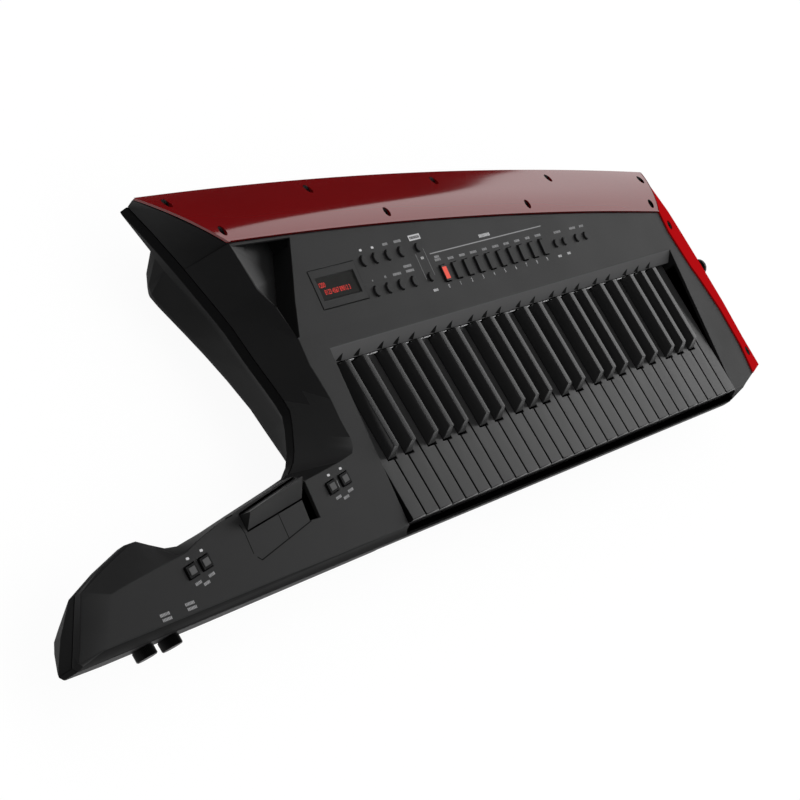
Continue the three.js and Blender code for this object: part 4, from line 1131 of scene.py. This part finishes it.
def number(shape, text, x, y, height, lift=0.0, narrow=1.0):
    """Plain figures with their feet towards the keys."""
    data = bpy.data.curves.new("figures", "FONT")
    data.body = text
    data.size = height / FIGURE_SHARE * MM
    data.align_x = "CENTER"
    data.align_y = "CENTER"
    data.extrude = INK / 2 * MM
    data.resolution_u = FIGURE_STEPS
    maker = bpy.data.objects.new("figures", data)
    bpy.context.scene.collection.objects.link(maker)
    mesh = baked(maker)
    bpy.data.objects.remove(maker)
    mark = bmesh.new()
    mark.from_mesh(mesh)
    bmesh.ops.remove_doubles(mark, verts=mark.verts, dist=FIGURE_MERGE)
    bmesh.ops.recalc_face_normals(mark, faces=mark.faces)
    bmesh.ops.scale(mark, vec=(narrow, 1.0, 1.0), verts=mark.verts)
    joined(shape, set_down(mark, x, y, lift + INK / 2))


print("a figure fills", FIGURE_SHARE, "of its text size")

# %% The marks on the panel
PLATE = (205.2, 208.8)
PLATE_SIZE = (20.5, 4.7)
PLATE_BLOCKS = 9
PLATE_LABEL_HEIGHT = 2.3
RIM_WIDTH = 0.8
WHITE_DOTS = [(109.2, 208.7), (129.7, 208.6)]
GREY_DOT = (107.0, 183.2, 1.6, 1.4)
GREY_LINES = [
    ((194.6, 173.0), (194.6, 195.0), 0.4), ((211.5, 175.0), (211.5, 198.4), 0.4),
    ((218.8, 192.6), (440.0, 192.6), 0.9),
]
WHITE_LABELS = [
    (203.3, 190.9, 3, LABEL_HEIGHT), (327.6, 196.8, 9, 2.8), (202.0, 163.0, 5, LABEL_HEIGHT),
    (451.2, 162.9, 4, LABEL_HEIGHT), (471.3, 163.3, 4, LABEL_HEIGHT),
]
GREY_LABELS = [
    (129.5, 183.6, 2), (152.3, 208.9, 5), (174.2, 208.9, 7), (150.3, 183.5, 8),
    (172.8, 187.6, 8), (173.8, 183.5, 8), (228.1, 189.0, 5), (227.9, 186.5, 6),
    (466.6, 183.9, 8), (499.7, 183.9, 7), (519.6, 183.7, 5),
]
PRINT_PITCH = 21.9
PAD_LABEL = (229.1, 185.3)
PAD_BLOCKS = (5, 6, 7)
PAD_NUMBER = (227.4, 163.2)
NUMBER_HEIGHT = 3.3

white = bmesh.new()
grey = bmesh.new()
dark = bmesh.new()
rim = [(left, near), (right, near), (right, far), (left, far)]
for start, end in zip(rim, rim[1:] + rim[:1]):
    line(dark, start, end, RIM_WIDTH)
for x, y in WHITE_DOTS:
    lozenge(white, x, y)
lozenge(grey, *GREY_DOT)
patch(white, rectangle(*PLATE_SIZE), *PLATE)
label(dark, *PLATE, PLATE_BLOCKS, PLATE_LABEL_HEIGHT, INK)
for start, end, width in GREY_LINES:
    line(grey, start, end, width)
for x, y, count, height in WHITE_LABELS:
    label(white, x, y, count, height)
for x, y, count in GREY_LABELS:
    label(grey, x, y, count)
for i in range(1, PAD_COUNT):
    label(grey, PAD_LABEL[0] + PRINT_PITCH * i, PAD_LABEL[1], chance.choice(PAD_BLOCKS))
for i in range(PAD_COUNT):
    number(white, str(i), PAD_NUMBER[0] + PRINT_PITCH * i, PAD_NUMBER[1], NUMBER_HEIGHT)
inked("white_marks", white, white_ink)
inked("grey_marks", grey, grey_ink)
inked("dark_marks", dark, dark_ink)

# %% The figures on the screen
FIGURE_HEIGHT = 4.0
FIGURE_NARROW = 0.95
SCREEN_ROWS = [("1200", 27.6, 189.3), ("0123 4567 89012 3", 49.0, 183.3)]

figures = bmesh.new()
for text, x, y in SCREEN_ROWS:
    number(figures, text, x, y, FIGURE_HEIGHT, SCREEN_LIFT, FIGURE_NARROW)
inked("screen_figures", figures, red_glow)

# %% The marks on the neck
LAMP_SIZE = (4.2, 1.8)
LAMP_PLACES = [(-84.9, 53.6), (-64.6, 55.2), (-308.2, 33.4), (-288.0, 35.3)]
NECK_LABELS = [
    (-84.3, 36.1), (-73.5, 34.3), (-63.6, 38.0), (-307.7, 15.7), (-297.9, 13.7), (-288.2, 17.8),
]
NECK_BLOCKS = 5
NECK_TICK = ((-76.9, 42.6), (-76.8, 48.3), 0.5)
KNOB_LABELS = [(-328.3, 3.6), (-361.8, 3.0)]
KNOB_ROWS = [(0.0, 1.8), (0.6, -1.6)]
KNOB_BLOCKS = 7
GROOVE_WIDTH = 0.9
GROOVES = [
    ((-223.9, 17.5), (-219.6, 14.4)), ((-219.6, 14.4), (-134.8, 27.5)), ((-173.9, 20.7), (-173.8, 42.4)),
    ((-226.4, 34.8), (-226.7, 20.4)), ((-228.5, 42.5), (-226.1, 35.2)), ((-242.2, 49.6), (-232.1, 50.4)),
]

neck_white = bmesh.new()
neck_grey = bmesh.new()
neck_dark = bmesh.new()
for x, y in LAMP_PLACES:
    lozenge(neck_white, x, y, *LAMP_SIZE)
for x, y in NECK_LABELS:
    label(neck_grey, x, y, NECK_BLOCKS, turn=NECK_TURN)
line(neck_grey, *NECK_TICK)
for x, y in KNOB_LABELS:
    for aside, higher in KNOB_ROWS:
        label(neck_grey, x + aside, y + higher, KNOB_BLOCKS)
for start, end in GROOVES:
    line(neck_dark, start, end, GROOVE_WIDTH)
inked("neck_white_marks", neck_white, white_ink)
inked("neck_grey_marks", neck_grey, grey_ink)
inked("neck_lines", neck_dark, dark_ink)

# %% [markdown]
# ## Felt behind the keys
# Between the sharps short tufts of light felt show on the rail's lip: felt keeps dust out and stops
# the keys from rattling. It has to stop short of each slot in the lip, so the tufts' places are
# worked out from those of the sharps.

# %% The felt
SLOT_HALF = 7.25
FELT_THICK = 0.5
FELT_INSET = 0.02
FELT_LOW = 1.0
FELT_HIGH = 3.2
TUFT_REACH = 13.0
TUFT_GAP = 3.0
BOX_FACES = [(3, 2, 1, 0), (4, 5, 6, 7), (0, 1, 5, 4), (1, 2, 6, 5), (2, 3, 7, 6), (3, 0, 4, 7)]


def middle_of(node):
    low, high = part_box(node)
    return ((low.x + high.x) / 2 - corner.x) / MM


def tuft(shape, start, end):
    """A small box of felt on the rail's lip."""
    front = RAIL_FRONT - FELT_THICK
    back = RAIL_FRONT - FELT_INSET
    around = ((start, front), (end, front), (end, back), (start, back))
    made = [shape.verts.new(at(x, y, z)) for z in (FELT_LOW, FELT_HIGH) for x, y in around]
    for quad in BOX_FACES:
        shape.faces.new([made[i] for i in quad])


felt = bmesh.new()
middles = [middle_of(node) for node in sharps]
for first, second in zip(middles, middles[1:]):
    room = second - first - 2 * SLOT_HALF
    tufts = round(room / TUFT_REACH)
    length = (room - (tufts - 1) * TUFT_GAP) / tufts
    for i in range(tufts):
        start = first + SLOT_HALF + i * (length + TUFT_GAP)
        tuft(felt, start, start + length)
piece("rail_felt_strip", felt, "case", rail_felt)

# %% [markdown]
# ## Painted shade beside the rail's slots
# The rail slopes up from the felt to the panel, and each sharp runs into it through a narrow slot.
# Seen from above, each sharp leaves a black flame of shade beside it where it runs into its slot;
# that shade is painted, as a thin black inlay laid on the slope, one for each sharp.

# %% The slots' painted shade
RAIL_LIP = 5.2
RAIL_TILT = math.atan2(panel_height(RAIL_BACK) - RAIL_LIP, RAIL_BACK - RAIL_FRONT)
# The outline of the painted shade beside each sharp, in millimetres on the slope.
SLOT_SHADE_FLAME = [(-11.5, 1.4), (-2.6, 0.4), (-0.6, 6.3), (-4.0, 5.3), (-8.0, 3.4)]
INLAY = (-0.1, 0.05)

slot_shades = bmesh.new()
for middle in middles:
    shade_flame = bmesh.new()
    upright(shade_flame, SLOT_SHADE_FLAME, *INLAY)
    lean = Matrix.Translation(at(middle, RAIL_FRONT, RAIL_LIP)) @ Matrix.Rotation(RAIL_TILT, 4, "X")
    bmesh.ops.transform(shade_flame, matrix=lean, verts=shade_flame.verts)
    joined(slot_shades, shade_flame)
inked("rail_slots", slot_shades, dark_ink)

# %% [markdown]
# ## The modulation bar
# The bar folds up out of the neck. Its front is one slightly twisted surface from the fold to the
# ridge, which two flat triangles would crease, so a fine grid is laid over it. Its ends and back
# are upright and its foot goes down into the case, as the packed solid does.

# %% The modulation bar's frame
BAR_FOLD_SHARES = [(-0.4653, 0.1267), (-0.2821, 0.1534)]
BAR_RIDGE_SHARES = [(-0.4653, 0.164), (-0.2789, 0.2017)]


def neck_point(shares):
    """A place on the neck's face, in millimetres from the keyboard's corner."""
    x, y = shares[0] * NECK_LENGTH, shares[1] * BODY_DEPTH
    return Vector((x, y, panel_height(y)))


bar_start, bar_end = (neck_point(shares) for shares in BAR_FOLD_SHARES)
bar_along = (bar_end - bar_start).normalized()
bar_length = (bar_end - bar_start).length
panel_up = Vector((0, -PANEL_SLOPE, 1)).normalized()
bar_across = panel_up.cross(bar_along).normalized()
bar_up = bar_along.cross(bar_across)
bar_widths = [(neck_point(shares) - bar_start).dot(bar_across) for shares in BAR_RIDGE_SHARES]
print("bar length", round(bar_length, 1), "widths", [round(w, 1) for w in bar_widths])

# %% The modulation bar
BAR_HEIGHT = 8.0
BAR_FOOT = 4.0
BAR_TOE = 1.0
BAR_BACK_STEP = 0.8
BAR_STEPS = 24
BAR_ROWS = 10
BAR_ROUND = 0.3
CREST_ANGLE = 0.2


def bar_section(share):
    """The bar's outline at a share of its length, as places across it and heights."""
    width = bar_widths[0] + (bar_widths[1] - bar_widths[0]) * share
    front = [(width - BAR_BACK_STEP) * i / BAR_ROWS for i in range(BAR_ROWS + 1)]
    face = [(a, BAR_HEIGHT * i / BAR_ROWS) for i, a in enumerate(front)]
    behind = [(width, BAR_HEIGHT), (width + BAR_BACK_STEP, 0.0), (width + BAR_BACK_STEP, -BAR_FOOT)]
    return [(BAR_TOE, -BAR_FOOT)] + face + behind


bar = bmesh.new()
rings = []
for i in range(BAR_STEPS + 1):
    share = i / BAR_STEPS
    foot = bar_start + bar_along * bar_length * share
    rings.append([bar.verts.new(at(*(foot + bar_across * a + bar_up * h))) for a, h in bar_section(share)])
for first, second in zip(rings, rings[1:]):
    for i in range(len(first)):
        j = (i + 1) % len(first)
        bar.faces.new((first[i], second[i], second[j], first[j]))
bar.faces.new(rings[0])
bar.faces.new(list(reversed(rings[-1])))
bmesh.ops.recalc_face_normals(bar, faces=bar.faces)
crest_row = BAR_ROWS + 1
crest = {ring[k] for ring in rings for k in (crest_row, crest_row + 1)}
on_crest = [e for e in bar.edges if all(v in crest for v in e.verts)]
soften(bar, [e for e in on_crest if e.calc_face_angle(0.0) > CREST_ANGLE], BAR_ROUND)
piece("modulation_bar_skin", bar, "modulation_bar", case_plastic, ["modulation_bar"])

# %% [markdown]
# ## The studio
# A product picture of a dark glossy thing is made with one big soft light behind it and darkness
# elsewhere: the light shows as a reflection on the flat tops, and its edge draws the line on the
# blade. The light is far away, so it reflects from the same direction all along the keyboard.

# %% The softbox
LIGHT_AZIMUTH = math.radians(1.25)
LIGHT_ELEVATION = math.radians(15.25)
LIGHT_DISTANCE = 12.0
LIGHT_WIDTH = 2 * LIGHT_DISTANCE * math.tan(math.radians(19.25))
LIGHT_HEIGHT = 2 * LIGHT_DISTANCE * math.tan(math.radians(10.25))
LIGHT_LEVEL = 1.25

towards = Vector((
    math.cos(LIGHT_ELEVATION) * math.cos(LIGHT_AZIMUTH),
    math.cos(LIGHT_ELEVATION) * math.sin(LIGHT_AZIMUTH),
    math.sin(LIGHT_ELEVATION),
))
softbox = bpy.data.objects.new("softbox", bpy.data.lights.new("softbox", "AREA"))
bpy.context.scene.collection.objects.link(softbox)
softbox.data.shape = "RECTANGLE"
softbox.data.size = LIGHT_WIDTH
softbox.data.size_y = LIGHT_HEIGHT
softbox.data.energy = LIGHT_LEVEL * math.pi * LIGHT_WIDTH * LIGHT_HEIGHT
softbox.location = towards * LIGHT_DISTANCE
softbox.rotation_mode = "QUATERNION"
softbox.rotation_quaternion = towards.to_track_quat("Z", "Y")
softbox.visible_camera = False
print("softbox", round(softbox.data.energy), "W")

# %% [markdown]
# ## The sky and the floor
# The sky lights the object gently: it is brightest overhead and on the side of the softbox. A ray
# that shows the sky sees something else: white from the camera, and in a reflection white only in a
# low band at the horizon, with near darkness above it. The floor is white paper that keeps the
# object's shadow.

# %% The sky
BAND_FOOT = 0.03
BAND_FADE = 25.0
DARKEST = 0.01
AHEAD_SHARE = 0.35
DIMMEST = 0.22
RAY_KINDS = ("Is Camera Ray", "Is Glossy Ray", "Is Transmission Ray")

world = bpy.data.worlds.new("studio")
world.use_nodes = True
bpy.context.scene.world = world
sky = Tree(world.node_tree)
for spare in list(world.node_tree.nodes):
    world.node_tree.nodes.remove(spare)
way = sky.node("ShaderNodeTexCoord", output="Generated")
height = sky.node("ShaderNodeSeparateXYZ", None, {0: way}, output="Z")
ahead = sky.node("ShaderNodeSeparateXYZ", None, {0: way}, output="X")
camera_ray, glossy_ray, through_ray = [sky.node("ShaderNodeLightPath", output=kind) for kind in RAY_KINDS]
seen = (camera_ray + glossy_ray + through_ray).at_most(1.0)
low_band = 1 - ((height - BAND_FOOT) * BAND_FADE).at_least(0.0).at_most(1.0)
shown = low_band * (1 - DARKEST) + DARKEST
lit = (height.at_least(0.0) + ahead * AHEAD_SHARE).at_least(0.0) + DIMMEST
level = seen * shown + (1 - seen) * lit
level = camera_ray + (1 - camera_ray) * level
background = sky.node("ShaderNodeBackground", None, {"Color": (1, 1, 1, 1), "Strength": level})
world_end = world.node_tree.nodes.new("ShaderNodeOutputWorld")
world.node_tree.links.new(background.socket, world_end.inputs["Surface"])
print("nodes in the sky", len(world.node_tree.nodes))

# %% The floor
PAPER_SHADES = ((0.86, 0.86, 0.86, 1), (0.9, 0.9, 0.9, 1))
PAPER_GRAIN = 1.5
PAPER_ROUGH = 0.9
PAPER_CHANGE = 0.05
PAPER_GLOSS = 0.1
PAPER_GLOW = 1.02
GLOW_SHARE = 0.93
FLOOR_SIZE = 40.0
FLOOR_DROP = 0.0002


def floor_paper():
    finish = Finish("floor_paper")
    grain = finish.noise(PAPER_GRAIN)
    finish.set(Base_Color=finish.mix("RGBA", grain, *PAPER_SHADES))
    finish.set(Roughness=grain * PAPER_CHANGE + PAPER_ROUGH, Specular_IOR_Level=PAPER_GLOSS)
    rays = [finish.node("ShaderNodeLightPath", output=kind) for kind in RAY_KINDS]
    glow = finish.node("ShaderNodeEmission", None, {"Color": (1, 1, 1, 1), "Strength": PAPER_GLOW})
    share = (rays[0] + rays[1] + rays[2]).at_most(1.0) * GLOW_SHARE
    paper = Number(finish, finish.surface.outputs[0])
    both = finish.node("ShaderNodeMixShader", None, {0: share, 1: paper, 2: glow})
    finish.tree.links.new(both.socket, finish.tree.nodes["Material Output"].inputs["Surface"])
    return finish.material


floor_shape = bmesh.new()
bmesh.ops.create_grid(floor_shape, x_segments=1, y_segments=1, size=FLOOR_SIZE / 2)
floor_mesh = bpy.data.meshes.new("floor")
floor_shape.to_mesh(floor_mesh)
floor_shape.free()
floor_mesh.materials.append(floor_paper())
floor = bpy.data.objects.new("floor", floor_mesh)
bpy.context.scene.collection.objects.link(floor)
floor.location.z = -FLOOR_DROP
print("floor", FLOOR_SIZE, "m")

# %% [markdown]
